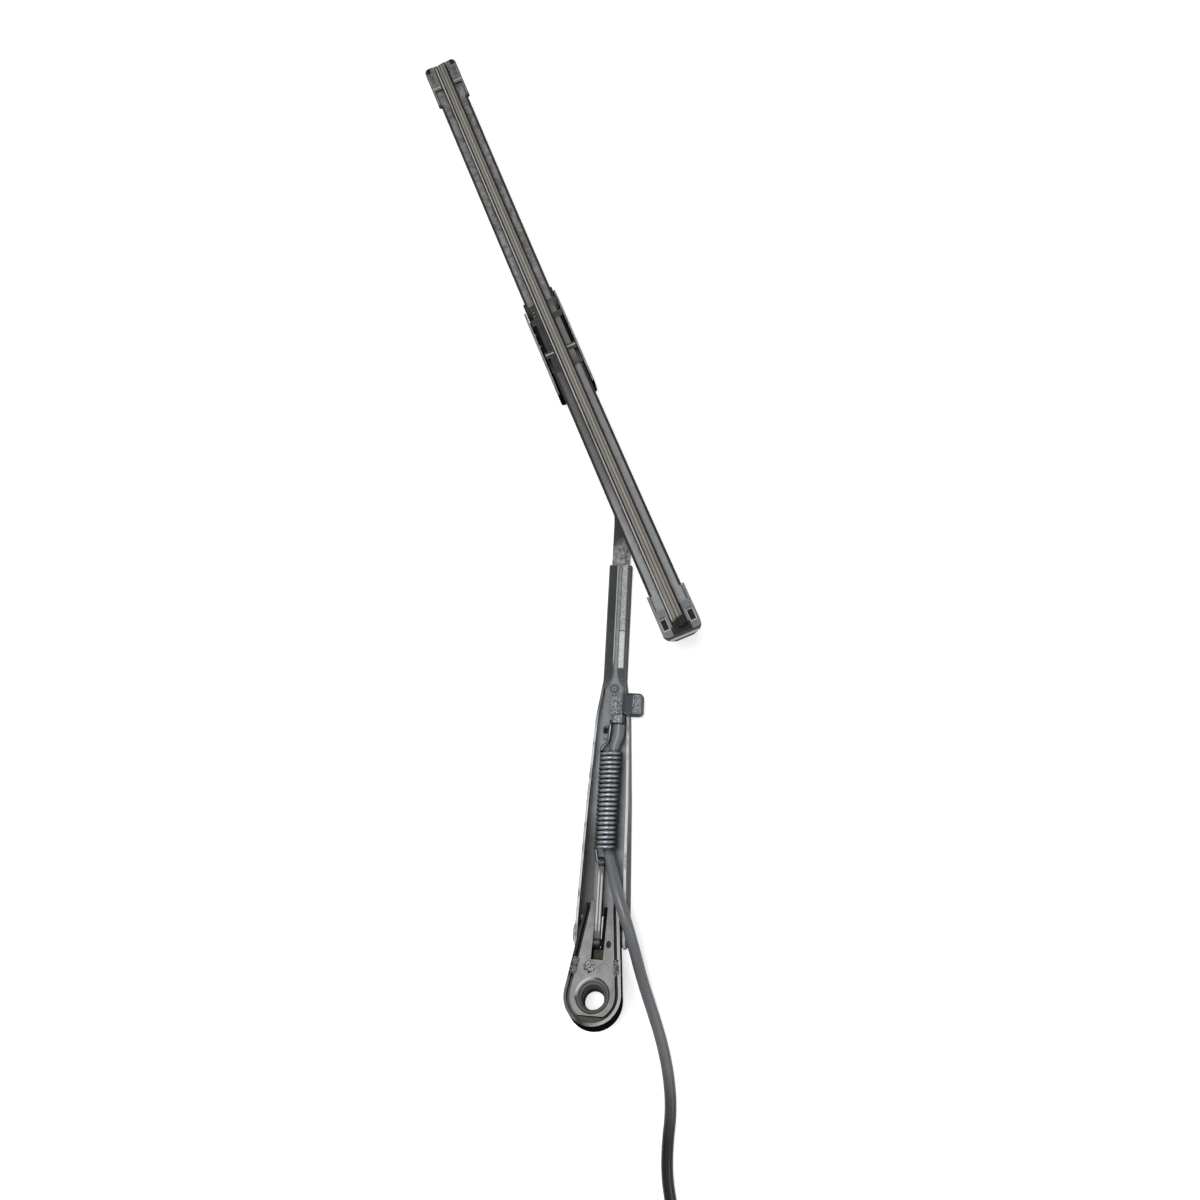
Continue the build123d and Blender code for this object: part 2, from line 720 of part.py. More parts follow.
# Washer hose: down through the spring, over the right wall and along the floor
hose_start = (spigot_x, nozzle_start - collar_length, spigot_height)
hose_drop = (spigot_x, hose_start[1] - hose_lead, spigot_height)
hose_route = [hose_start, hose_drop] + hose_points
hose_line = [Vector(x, y, above_back(height)) for x, y, height in hose_route]
hose_radii = []
for before, corner, after in zip(hose_line, hose_line[1:], hose_line[2:]):
    shorter = min((corner - before).length, (after - corner).length)
    half_turn = radians((corner - before).get_angle(after - corner)) / 2
    hose_radii.append(arc_share * shorter / tan(half_turn))
print("hose radii", [round(radius) for radius in hose_radii])
with BuildPart() as washer_hose:
    with BuildLine():
        hose_path = FilletPolyline(*hose_line, radius=hose_radii)
    with BuildSketch(Plane(origin=hose_line[0], z_dir=hose_line[1] - hose_line[0])):
        RegularPolygon(hose_radius, hose_sides)
    sweep(path=hose_path)
print("hose length", round(hose_path.length, 1))
hose_section = hose_sides / 2 * hose_radius**2 * sin(2 * pi / hose_sides)
print("hose volume share", round(washer_hose.part.volume / (hose_section * hose_path.length), 4))
washer_hose.part.label = "washer_hose"
export_step(washer_hose.part, "parts/washer_hose.step")

# Joiner in the hose's free end, with a spigot for the car's own washer line
hose_end = hose_line[-1]
hose_direction = (hose_end - hose_line[-2]).normalized()
joiner_length = joiner_collar + joiner_spigot
with BuildPart() as hose_joiner:
    with BuildSketch(Plane(origin=hose_end, x_dir=hose_direction, z_dir=(0, 0, 1))):
        with BuildLine():
            Polyline(
                (0, joiner_bore),
                (0, hose_radius),
                (joiner_collar, hose_radius),
                (joiner_collar, joiner_spigot_radius),
                (joiner_length - joiner_lead, joiner_spigot_radius),
                (joiner_length, joiner_spigot_radius - joiner_lead),
                (joiner_length, joiner_bore),
                close=True,
            )
        make_face()
    revolve(axis=Axis(hose_end, hose_direction))
hose_joiner.part.label = "hose_joiner"
export_step(hose_joiner.part, "parts/hose_joiner.step")

# The blade is curved off the glass, so its pieces are revolved about a far axis across it
blade_radius = blade_length**2 / (8 * blade_sag) + blade_sag / 2
blade_half = blade_length / 2
blade_middle = Vector(pin_x, pin_y, above_back(rail_height))
blade_axis = Axis(blade_middle + Vector(0, 0, blade_radius), across)


def blade_plane(place):
    """Plane across the blade, this far from its middle to the toe: X across it, Y to the glass."""
    angle = place / blade_radius
    along = to_toe * (blade_radius * sin(angle))
    rise = Vector(0, 0, blade_radius * (1 - cos(angle)))
    tangent = to_toe * cos(angle) + Vector(0, 0, sin(angle))
    return Plane(origin=blade_middle + along + rise, x_dir=across, z_dir=tangent * -1)


def blade_run(start, end, mode=Mode.ADD, profile=None):
    """Carry the sketch at start along the blade to end."""
    revolve(profile, axis=blade_axis, revolution_arc=degrees((end - start) / blade_radius), mode=mode)


def both_sides(right):
    """Close an outline whose right half is given, from the middle to the middle."""
    Polyline(*right, *[(-x, y) for x, y in reversed(right) if x > 0], close=True)


cap_line = blade_half - cap_length
cap_inner_end = blade_half - cap_wall - seat_gap
rail_top = rail_thickness + rubber_fit
head_low = -rubber_head - 2 * rubber_fit

# Two spring-steel rails that carry the rubber
for side_name, side in (("left", -1), ("right", 1)):
    with BuildPart() as rail:
        with BuildSketch(blade_plane(-cap_inner_end)):
            with Locations((side * rail_gap, 0)):
                rail_align = Align.MIN if side > 0 else Align.MAX
                Rectangle(rail_half - rail_gap, rail_thickness, align=(rail_align, Align.MIN))
        blade_run(-cap_inner_end, cap_inner_end)
    rail.part.label = "rail_" + side_name
    export_step(rail.part, "parts/rail_" + side_name + ".step")

lip_turn = radians(lip_lean)
lip_slope = lip_neck_half * tan(lip_turn)


def lip_point(x, y):
    """A point of the lip, given upright from the top of the neck, where it lies with the lip leaned over."""
    return x * cos(lip_turn) + y * sin(lip_turn), lip_neck_top - x * sin(lip_turn) + y * cos(lip_turn)


# Rubber: head under the rails, web between them, shoulder, thin neck and wiping lip
with BuildPart() as rubber_element:
    with BuildSketch(blade_plane(-cap_inner_end)):
        with BuildLine():
            both_sides([
                (0, -rubber_head - rubber_fit),
                (rubber_head_half, -rubber_head - rubber_fit),
                (rubber_head_half, -rubber_fit),
                (rail_gap - rubber_fit, -rubber_fit),
                (rail_gap - rubber_fit, rail_top),
                (shoulder_half, rail_top),
                (shoulder_half, shoulder_top),
                (0, shoulder_top),
            ])
        make_face()
        with BuildLine():
            Polyline(
                (-lip_neck_half, rail_top),
                (lip_neck_half, rail_top),
                (lip_neck_half, lip_neck_top - lip_slope),
                lip_point(lip_half, 0),
                lip_point(lip_half, lip_shoulder),
                lip_point(lip_edge_half, lip_height),
                lip_point(-lip_edge_half, lip_height),
                lip_point(-lip_half, lip_shoulder),
                lip_point(-lip_half, 0),
                (-lip_neck_half, lip_neck_top + lip_slope),
                close=True,
            )
        make_face()
    blade_run(-cap_inner_end, blade_half - rubber_short)
rubber_element.part.label = "rubber_element"
export_step(rubber_element.part, "parts/rubber_element.step")

# Air spoiler in two halves, clasped round the rails on either side of the connector
spoiler_inner = rail_half + rubber_fit
spoiler_half = spoiler_inner + spoiler_lip
spoiler_top = rail_top + spoiler_lip
grip_half = rail_half - spoiler_lip_over
nest_half = rubber_head_half + rubber_fit
spoiler_start = base_length / 2 + seat_gap
spoiler_end = cap_line - seat_gap
for half_name, start, end in (
    ("heel", -spoiler_end, -spoiler_start),
    ("toe", spoiler_start, spoiler_end),
):
    with BuildPart() as spoiler:
        with BuildSketch(blade_plane(start)):
            with BuildLine():
                Polyline((crest_right, -spoiler_height), (crest_left, -spoiler_height))
                SagittaArc((crest_left, -spoiler_height), (-spoiler_half, -spoiler_edge), -lee_hollow)
                Polyline(
                    (-spoiler_half, -spoiler_edge),
                    (-spoiler_half, spoiler_top),
                    (-grip_half, spoiler_top),
                    (-grip_half, rail_top),
                    (-spoiler_inner, rail_top),
                    (-spoiler_inner, -rubber_fit),
                    (-nest_half, -rubber_fit),
                    (-nest_half, head_low),
                    (nest_half, head_low),
                    (nest_half, -rubber_fit),
                    (spoiler_inner, -rubber_fit),
                    (spoiler_inner, rail_top),
                    (grip_half, rail_top),
                    (grip_half, spoiler_top),
                    (spoiler_half, spoiler_top),
                    (spoiler_half, -spoiler_edge),
                )
                SagittaArc((spoiler_half, -spoiler_edge), (crest_right, -spoiler_height), -wind_hollow)
            make_face()
        blade_run(start, end)
    spoiler.part.label = "spoiler_" + half_name
    export_step(spoiler.part, "parts/spoiler_" + half_name + ".step")

# End caps: closed at the heel, open at the toe for the rubber's end
cap_top = rail_top + cap_claw
pocket_x = (nest_half + cap_half) / 2


def cap_run(way, outline, inner, outer, mode=Mode.SUBTRACT):
    """Carry an outline between two distances from the blade's end that lies this way."""
    start, end = sorted((way * (blade_half - inner), way * (blade_half - outer)))
    with BuildSketch(blade_plane(start)) as profile:
        add(outline)
    blade_run(start, end, mode, profile.sketch)


with BuildSketch() as cap_shell:
    with BuildLine():
        both_sides([
            (0, -cap_belly),
            (cap_belly_half, -cap_belly),
            (cap_half, -rail_top),
            (cap_half, cap_top),
            (0, cap_top),
        ])
    make_face()
with BuildSketch() as rail_nest:
    with Locations((0, -rubber_fit)):
        Rectangle(2 * spoiler_inner, rail_top + rubber_fit, align=(Align.CENTER, Align.MIN))
with BuildSketch() as rubber_nest:
    with Locations((0, head_low)):
        Rectangle(2 * nest_half, cap_belly + cap_top, align=(Align.CENTER, Align.MIN))
with BuildSketch() as entry_step:
    Rectangle(2 * (cap_half - cap_side), cap_belly, align=(Align.CENTER, Align.MIN))
with BuildSketch() as clip_pockets:
    with Locations((-pocket_x, cap_top), (pocket_x, cap_top)):
        Rectangle(pocket_width, 2 * pocket_depth)

for end_name, way, rubber_stop in (("heel", -1, cap_wall), ("toe", 1, -cut_past)):
    with BuildPart() as cap:
        cap_run(way, cap_shell.sketch, cap_length, 0, Mode.ADD)
        end_upright = Axis((0, 0, 0), blade_plane(way * blade_half).y_dir)
        fillet(cap.edges().filter_by(end_upright), radius=cap_round)
        cap_run(way, rail_nest.sketch, cap_length, cap_wall)
        cap_run(way, rubber_nest.sketch, cap_length, rubber_stop)
        cap_run(way, entry_step.sketch, cap_length, cap_length - cap_entry)
        cap_run(way, clip_pockets.sketch, pocket_inset + pocket_length, pocket_inset)
    cap.part.label = "end_cap_" + end_name
    export_step(cap.part, "parts/end_cap_" + end_name + ".step")

# Connector base: a clasp round the rails with claws on its top plates, and two cheeks for the pin
plate_low = -rubber_fit - base_plate
plate_top = rail_top + plate_thickness
plate_inner = shoulder_half + plate_gap
plate_height = above_back(rail_height) + plate_low - pin_z
with BuildPart() as connector_base:
    with BuildSketch(blade_plane(-base_length / 2)):
        with Locations((0, plate_low)):
            Rectangle(2 * base_half, plate_top - plate_low, align=(Align.CENTER, Align.MIN))
        add(rail_nest.sketch, mode=Mode.SUBTRACT)
        with Locations((0, head_low)):
            Rectangle(2 * nest_half, base_plate, align=(Align.CENTER, Align.MIN), mode=Mode.SUBTRACT)
            Rectangle(2 * plate_inner, 2 * base_plate, align=(Align.CENTER, Align.MIN), mode=Mode.SUBTRACT)
    blade_run(-base_length / 2, base_length / 2)
    for claw_start in (-claw_place - claw_length, claw_place):
        with BuildSketch(blade_plane(claw_start)):
            with Locations((0, plate_top)):
                Rectangle(2 * base_half, claw_rise, align=(Align.CENTER, Align.MIN))
                Rectangle(2 * plate_inner, claw_rise, align=(Align.CENTER, Align.MIN), mode=Mode.SUBTRACT)
        blade_run(claw_start, claw_start + claw_length)
    for side in (-1, 1):
        with BuildSketch(hook_plane.offset(side * cheek_inner)):
            Circle(cheek_radius)
            with Locations((0, plate_height)):
                Rectangle(cheek_length, base_plate / 2, align=(Align.CENTER, Align.MIN))
            make_hull()
        extrude(amount=side * cheek_thickness)
    # window over the rod's hook, and the hole for the pin
    with BuildSketch(hook_plane.offset(-cheek_inner)):
        with Locations((hook_outer + window_gap, plate_height - window_gap)):
            window_length = hook_outer + hook_leg + 2 * window_gap
            window_height = base_plate + window_gap + rubber_fit + head_low
            Rectangle(window_length, window_height, align=(Align.MAX, Align.MIN))
    extrude(amount=2 * cheek_inner, mode=Mode.SUBTRACT)
    with BuildSketch(hook_plane.offset(-base_half)):
        Circle(base_pin_radius + slide_fit)
    extrude(amount=2 * base_half, mode=Mode.SUBTRACT)
connector_base.part.label = "connector_base"
export_step(connector_base.part, "parts/connector_base.step")

# Pin across the base
with BuildPart() as connector_pin:
    with BuildSketch(hook_plane):
        Circle(base_pin_radius)
    extrude(amount=cheek_inner + cheek_thickness, both=True)
connector_pin.part.label = "connector_pin"
export_step(connector_pin.part, "parts/connector_pin.step")

# Adapter in the rod's hook, with ears that hold the cover
adapter_radius = hook_radius - seat_gap
ear_reach = cover_half - cover_wall - seat_gap
with BuildPart() as hook_adapter:
    with BuildSketch(hook_plane):
        Circle(adapter_radius)
        Rectangle(adapter_length, 2 * adapter_radius, align=(Align.MAX, Align.CENTER))
        Circle(base_pin_radius + running_fit, mode=Mode.SUBTRACT)
    extrude(amount=rod_width / 2, both=True)
    with BuildSketch(hook_plane):
        with Locations((-adapter_length, 0)):
            Rectangle(ear_length, 2 * adapter_radius, align=(Align.MIN, Align.CENTER))
    extrude(amount=ear_reach, both=True)
hook_adapter.part.label = "hook_adapter"
export_step(hook_adapter.part, "parts/hook_adapter.step")

# Cover: an open trough over the hook and the adapter
cover_origin = Vector(pin_x, pin_y, back_z) - to_toe * cover_heel
with BuildPart() as connector_cover:
    with BuildSketch(Plane(origin=cover_origin, x_dir=across, z_dir=to_toe * -1)) as trough:
        Rectangle(2 * cover_half, cover_height, align=(Align.CENTER, Align.MIN))
        fillet(trough.vertices().group_by(Axis.Y)[0], radius=cover_round)
        with Locations((0, cover_floor)):
            trough_width = 2 * (cover_half - cover_wall)
            Rectangle(trough_width, cover_height, align=(Align.CENTER, Align.MIN), mode=Mode.SUBTRACT)
    extrude(amount=-cover_heel - cover_toe)
    with BuildSketch(Plane(origin=(pin_x, pin_y, back_z), x_dir=across, z_dir=(0, 0, 1))):
        with BuildLine():
            Polyline(
                (-2 * cover_half, cover_toe - 3 / 2 * cover_slant),
                (2 * cover_half, cover_toe + cover_slant / 2),
                (2 * cover_half, cover_toe + cover_slant),
                (-2 * cover_half, cover_toe + cover_slant),
                close=True,
            )
        make_face()
    extrude(amount=cover_height, mode=Mode.SUBTRACT)
    top_edges = connector_cover.edges().group_by(Axis.Z)[-1]
    fillet(top_edges.filter_by(lambda edge: edge.length < 2 * cover_wall), radius=cover_corner)
connector_cover.part.label = "connector_cover"
export_step(connector_cover.part, "parts/connector_cover.step")
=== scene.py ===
import json
import math
import random

import bpy
from mathutils import Matrix, Vector

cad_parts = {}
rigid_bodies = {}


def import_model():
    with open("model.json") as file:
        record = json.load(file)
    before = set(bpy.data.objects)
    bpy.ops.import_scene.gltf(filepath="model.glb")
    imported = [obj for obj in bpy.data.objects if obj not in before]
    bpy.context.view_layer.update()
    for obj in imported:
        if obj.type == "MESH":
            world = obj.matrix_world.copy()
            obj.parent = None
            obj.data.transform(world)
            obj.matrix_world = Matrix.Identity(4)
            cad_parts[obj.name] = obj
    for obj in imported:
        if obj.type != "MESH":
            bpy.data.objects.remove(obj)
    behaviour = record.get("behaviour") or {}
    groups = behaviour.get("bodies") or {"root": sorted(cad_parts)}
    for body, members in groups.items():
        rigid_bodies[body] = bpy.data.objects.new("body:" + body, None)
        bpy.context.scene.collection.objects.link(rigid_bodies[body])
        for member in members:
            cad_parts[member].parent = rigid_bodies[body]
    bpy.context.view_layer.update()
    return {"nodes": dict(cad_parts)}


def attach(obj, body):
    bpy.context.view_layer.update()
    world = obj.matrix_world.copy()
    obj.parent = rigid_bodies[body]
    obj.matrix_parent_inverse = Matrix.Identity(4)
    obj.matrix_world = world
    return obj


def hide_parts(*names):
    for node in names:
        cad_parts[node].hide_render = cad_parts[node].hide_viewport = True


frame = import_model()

bl_info = {
    "name": "Wiper Arm",
    "version": (1, 0, 0),
    "blender": (4, 5, 0),
    "location": "View3D > Sidebar > Wiper Arm",
    "description": "Dresses a car's wiper arm: hose, spring, nozzle, blade, connector and finishes",
    "category": "Object",
}

# Places and directions that the solids and the photograph share, in metres
BACK = -0.0183953
ARM_X = 0.0005
SIDE = Vector((1.0, 0.0, 0.0))
UP = Vector((0.0, 0.0, 1.0))
BORE = Vector((0.0, 0.374607, 0.927184))
TONGUE = Vector((0.0, 0.927184, -0.374607))
BLADE_MIDDLE = Vector((-0.0464, 0.3810, BACK + 0.0204))
ACROSS = Vector((0.910323, 0.413899, 0.0))
TO_TOE = Vector((-0.413899, 0.910323, 0.0))
TOE_LOW = Vector((-0.1260, 0.5492, 0.0082))
TOE_FAR = Vector((-0.1259, 0.5773, 0.0188))
SPRING_LOW = Vector((0.0010, 0.0751, BACK + 0.0104))
SPRING_WAY = Vector((0.0, 0.999123, -0.041868))

# Routes of the hose and the spring's tails: X (the tails' from the coil's left), Y and the height above BACK
HOSE_ROUTE = (
    (0.0047, 0.1421, 0.0086), (0.0047, 0.1371, 0.0086), (0.0019, 0.1270, 0.0084), (0.0010, 0.1077, 0.0089),
    (0.0009, 0.0927, 0.0096), (0.0015, 0.0770, 0.0106), (0.0056, 0.0650, 0.0150), (0.0094, 0.0527, 0.0200),
    (0.0152, 0.0387, 0.0210), (0.0194, 0.0252, 0.0166), (0.0232, 0.0107, 0.0098), (0.0285, -0.0043, 0.0048),
    (0.0341, -0.0193, 0.00305), (0.0384, -0.0353, 0.00305), (0.0402, -0.0513, 0.00305),
    (0.0388, -0.0668, 0.00305), (0.0390, -0.0813, 0.00305), (0.0420, -0.0953, 0.00305),
    (0.0458, -0.1083, 0.00305), (0.0475, -0.1208, 0.00305), (0.0475, -0.1333, 0.00305),
)
HOSE_END_ROUTE = (
    (0.0047, 0.1426, 0.0086), (0.0047, 0.1400, 0.0086), (0.0047, 0.1371, 0.0086), (0.0036, 0.1331, 0.00852),
)
LOWER_TAIL = (
    (0.0, 0.0751, 0.0104), (0.0002, 0.0730, 0.0105), (0.0009, 0.0700, 0.0106), (0.0012, 0.0677, 0.0106),
    (0.0056, 0.0677, 0.0106),
)
UPPER_TAIL = (
    (0.0, 0.1276, 0.0082), (0.0001, 0.1300, 0.0081), (0.0019, 0.1308, 0.0078), (0.0036, 0.1330, 0.0072),
    (0.0038, 0.1370, 0.0066), (0.0041, 0.1415, 0.0065), (0.0043, 0.1433, 0.0063), (0.0043, 0.1433, 0.0024),
)

# Boxes from a low to a high corner: the nozzle's from the channel's back, the others in their own axes
NOZZLE_BODY = ((-0.0010, 0.1466, 0.0047), (0.0066, 0.1596, 0.0102))
NOZZLE_MANTLE = ((0.0014, 0.1426, 0.0058), (0.0078, 0.1478, 0.0118))
NOZZLE_LUG = ((0.0060, 0.1473, 0.0022), (0.0178, 0.1604, 0.0110))
LUG_FILLING = ((0.0122, 0.1485, 0.0090), (0.0167, 0.1592, 0.0110))
LUG_POCKET_X = 0.0112
# The hose's collars: start, length and radius
COLLARS = ((0.1424, 0.0042, 0.0031), (0.1421, 0.0007, 0.0034))
# The cut across the rubber at the toe: its height on the blade, and its slant in degrees
RUBBER_HEIGHT = 0.0215
RUBBER_SLANT = 40.0
TOE_FILLS = (
    ((-0.0066, 0.2060, 0.0160), (-0.0014, 0.2118, 0.0214)),
    ((0.0032, 0.2060, 0.0160), (0.0066, 0.2118, 0.0214)),
)
GROOVE_LUMP = ((-0.0019, -0.0043, -0.0014), (0.0019, 0.0043, 0.0012))
# The head's two grooves: sideways place and turn in degrees, and their middle
GROOVES = ((-0.0108, 7.4), (0.0114, -7.4))
GROOVE_MIDDLE = TONGUE * 0.0140 + BORE * 0.0094
# Lumps in the head's slot: corners, place along the tongue and up the bore, tilt in degrees
SLOT_LUMPS = (
    ((-0.0031, -0.0032, -0.0042), (0.0031, 0.0034, 0.0030), (0.0210, 0.0006), 0.0),
    ((-0.0031, -0.0008, -0.0042), (0.0031, 0.0011, 0.0019), (0.0243, 0.0006), 0.0),
    ((0.0004, -0.0110, -0.0007), (0.0031, 0.0110, 0.0007), (0.0355, 0.0022), 3.0),
)
CONNECTOR_PADS = (
    ((-0.0106, 0.0115, -0.0040), (-0.0092, 0.0300, -0.0006)),
    ((0.0092, 0.0240, -0.0040), (0.0106, 0.0345, -0.0006)),
)

# Crumbs of the caked dirt: cuts, size of a clump and depth
GROOVE_CRUMBS = (10, 0.0010, 0.0010)
SLOT_CRUMBS = (8, 0.0010, 0.0003)
PAD_CRUMBS = (6, 0.0010, 0.0004)

# Grit: range of sizes, and height over the blade's middle on the connector
GRIT_SIZE = (0.00025, 0.00050)
GRIT_HEIGHT = 0.0024
# Grit on the nozzle: count, range of X, range of Y, height
NOZZLE_GRIT = (
    (40, (0.0124, 0.0165), (0.1487, 0.1590), 0.0111),
    (26, (0.0036, 0.0066), (0.1490, 0.1580), 0.0104),
    (10, (0.0070, 0.0112), (0.1474, 0.1492), 0.0111),
    (14, (-0.0006, 0.0036), (0.1500, 0.1594), 0.0103),
    (6, (0.0020, 0.0070), (0.1430, 0.1470), 0.0118),
)
# Grit on the connector: across, along, size
CONNECTOR_GRIT = (
    (-0.0066, 0.0165, 0.00055), (-0.0062, 0.0194, 0.0005), (-0.0070, 0.0222, 0.0004),
    (-0.0108, 0.0045, 0.0005), (-0.0107, 0.0035, 0.0004), (-0.0108, -0.0040, 0.0005),
    (-0.0106, -0.0050, 0.0004), (0.0112, 0.0030, 0.0005), (0.0113, 0.0020, 0.0004),
    (0.0108, 0.0150, 0.0005), (0.0110, 0.0165, 0.0004), (0.0084, -0.0125, 0.0004),
)

# The stage: lamps as name, place, target, size and share of the power
LAMPS = (
    ("overhead lamp", (-0.08, 0.22, 1.35), (0.0, 0.2, 0.0), 0.55, 1.0),
    ("right lamp", (0.95, -0.15, 0.80), (0.0, 0.15, 0.0), 0.5, 0.24),
    ("left lamp", (-0.95, 0.45, 0.85), (0.0, 0.2, 0.0), 0.8, 0.20),
)
FLOOR_SIZE = 6.0
FLOOR_MIDDLE = (0.0, 0.2, BACK)
FLOOR_GAP = 0.001
CAMERA_PLACE = Vector((0.0675, 0.0837, BACK + 0.5116))
CAMERA_AIM = Vector((-0.0115, 0.2167, BACK))
CAMERA_TOP = Vector((-0.0546, 0.9985, 0.0))
CAMERA_SENSOR = 36.0
CAMERA_LENS = 27.0
WHITE = (1.0, 1.0, 1.0, 1.0)

# Colours that more than one finish or layer has
MUD = (0.070, 0.066, 0.045)
# painted shade seen in the square hole beside the spring's upper tail
HOLE_SHADE = (0.006, 0.006, 0.007)
PALE_GRIT = (0.62, 0.65, 0.68)


def colour(name, description, default):
    """A colour that a user would change."""
    return bpy.props.FloatVectorProperty(
        name=name, description=description, default=default, size=3, min=0.0, max=1.0, subtype="COLOR"
    )


def length(name, description, default):
    """A size that a user would change, in metres."""
    return bpy.props.FloatProperty(
        name=name, description=description, default=default, min=0.0, precision=5, unit="LENGTH"
    )


class WiperSizes(bpy.types.PropertyGroup):
    """Sizes of the pieces that are modelled here."""

    hose_radius: length("Hose Radius", "Outer radius of the washer hose", 0.0030)
    rubber_end: length("Rubber End", "End of the rubber at the toe, from the blade's middle", 0.2100)
    wire_radius: length("Wire Radius", "Radius of the spring's wire", 0.0010)
    coil_radius: length("Coil Radius", "Radius of the spring at the wire's middle", 0.0055)
    coil_pitch: length("Coil Pitch", "Distance from one turn of the spring to the next", 0.0025)
    coil_turns: bpy.props.IntProperty(
        name="Coil Turns", description="Number of turns in the spring", default=21, min=1
    )


class WiperColours(bpy.types.PropertyGroup):
    """Colours of the finishes, as they look in plain light."""

    cast: colour("Cast Metal", "Bare face of the head casting", (0.29, 0.295, 0.288))
    paint: colour("Paint", "Coat of the channel's inside", (0.20, 0.215, 0.23))
    worn: colour("Worn Rim", "Metal where the coat has gone", (0.62, 0.63, 0.63))
    bright: colour("Bright Steel", "Plated pin of the connector", (0.55, 0.56, 0.56))
    lip: colour("Wiper Rubber", "Rubber of the wiping lip", (0.34, 0.32, 0.285))
    spoiler: colour("Spoiler Rubber", "Rubber round the rails", (0.020, 0.020, 0.021))
    cap: colour("Cap Plastic", "End caps of the blade", (0.20, 0.208, 0.212))
    cover: colour("Cover Plastic", "Connector cover and hook adapter", (0.008, 0.008, 0.009))
    nozzle: colour("Nozzle Plastic", "Washer nozzle", (0.040, 0.050, 0.064))
    crumb: colour("Caked Dirt", "Dirt that has caked on the nozzle and the head", (0.155, 0.166, 0.175))
    # colours of the hose: nearly black at its lower end, grey along the arm
    hose: colour("Hose Rubber", "Clean washer hose", (0.010, 0.0085, 0.0075))
    hose_grey: colour("Hose Dust", "Dust on the hose along the arm", (0.145, 0.153, 0.162))
    spring: colour("Spring Coat", "Coat of the spring's wire", (0.34, 0.36, 0.385))


class WiperStage(bpy.types.PropertyGroup):
    """Floor and light."""

    floor: colour("Floor", "Pale floor that the arm lies on", (0.86, 0.86, 0.86))
    lamp_power: bpy.props.FloatProperty(
        name="Lamp Power", description="Power of the lamp overhead", default=10.5, min=0.0, unit="POWER"
    )
    sky: bpy.props.FloatProperty(
        name="Sky", description="Brightness of the light from all round", default=0.25, min=0.0
    )


def sizes():
    return bpy.context.scene.wiper_sizes


def colours():
    return bpy.context.scene.wiper_colours


def tint(value):
    """A colour for a socket, from three numbers or from a grey. A socket stays as it is."""
    if isinstance(value, bpy.types.NodeSocket):
        return value
    if isinstance(value, float):
        return (value, value, value, 1.0)
    return (value[0], value[1], value[2], 1.0)


def shade(value, share):
    """A colour made darker or paler."""
    return tuple(part * share for part in value)


class Nodes:
    """A node tree, with short calls for the nodes that a finish is made of."""

    def __init__(self, tree):
        self.tree = tree

    def feed(self, socket, value):
        """Link a socket to another one, or set its value."""
        if isinstance(value, bpy.types.NodeSocket):
            self.tree.links.new(value, socket)
        else:
            socket.default_value = value

    def put(self, kind, inputs=None, **settings):
        """Add a node, set its settings, and feed its inputs by name or number."""
        node = self.tree.nodes.new(kind)
        for name, value in settings.items():
            setattr(node, name, value)
        for name, value in (inputs or {}).items():
            self.feed(node.inputs[name], value)
        return node

    def maths(self, operation, first, second=0.0):
        """One Math node's result."""
        return self.put("ShaderNodeMath", {0: first, 1: second}, operation=operation).outputs[0]

    def times(self, first, second):
        """Two values or masks multiplied."""
        return self.maths("MULTIPLY", first, second)

    def fit(self, value, low, high, start=0.0, end=1.0):
        """A value mapped from low to high on to start to end, held at both ends."""
        inputs = {0: value, 1: low, 2: high, 3: start, 4: end}
        return self.put("ShaderNodeMapRange", inputs, clamp=True).outputs[0]

    def between(self, value, low, low_full, high, high_full):
        """A mask that rises from low to low_full, and falls from high_full to high."""
        return self.times(self.fit(value, low, low_full), self.fit(value, high, high_full))

    def mix(self, share, first, second):
        """Two colours mixed by share."""
        inputs = {0: share, 6: tint(first), 7: tint(second)}
        return self.put("ShaderNodeMix", inputs, data_type="RGBA").outputs[2]

    def ramp(self, value, low, high, stops):
        """A colour that follows a value: stops are the value and its grey or colour."""
        node = self.put("ShaderNodeValToRGB", {0: self.fit(value, low, high)})
        marks = node.color_ramp.elements
        while len(marks) < len(stops):
            marks.new(1.0)
        for mark, (place, tone) in zip(marks, stops):
            mark.position = (place - low) / (high - low)
            mark.color = tint(tone)
        return node.outputs[0]

    def noise(self, place, scale, detail=3.0, roughness=0.55):
        """Noise from 0 to 1 round 0.5."""
        inputs = {"Vector": place, "Scale": scale, "Detail": detail, "Roughness": roughness}
        return self.put("ShaderNodeTexNoise", inputs).outputs[0]

    def vector(self, operation, first, second):
        """One Vector Math node's results."""
        return self.put("ShaderNodeVectorMath", {0: first, 1: second}, operation=operation).outputs

    def dot(self, vector, direction):
        """How far a vector goes along a direction."""
        return self.vector("DOT_PRODUCT", vector, direction)["Value"]

    def distance(self, first, second):
        """How far two places are apart."""
        return self.vector("DISTANCE", first, second)["Value"]

    def parts(self, vector):
        """X, Y and Z of a vector."""
        return self.put("ShaderNodeSeparateXYZ", {0: vector}).outputs

    def where(self):
        """The coordinates of the surface."""
        return self.put("ShaderNodeTexCoord").outputs

    def seen(self):
        """1 for what the camera sees, straight or through something clear, and 0 for the rest."""
        path = self.put("ShaderNodeLightPath").outputs
        return self.maths("MAXIMUM", path["Is Camera Ray"], path["Is Transmission Ray"])


def group(name, inputs, outputs):
    """A shader node group: its nodes, the sockets it is given and those it feeds."""
    tree = bpy.data.node_groups.new(name, "ShaderNodeTree")
    for socket, default in inputs:
        made = tree.interface.new_socket(socket, in_out="INPUT", socket_type="NodeSocketFloat")
        made.default_value = default
    for socket in outputs:
        tree.interface.new_socket(socket, in_out="OUTPUT", socket_type="NodeSocketFloat")
    given = tree.nodes.new("NodeGroupInput").outputs
    return Nodes(tree), given, tree.nodes.new("NodeGroupOutput").inputs


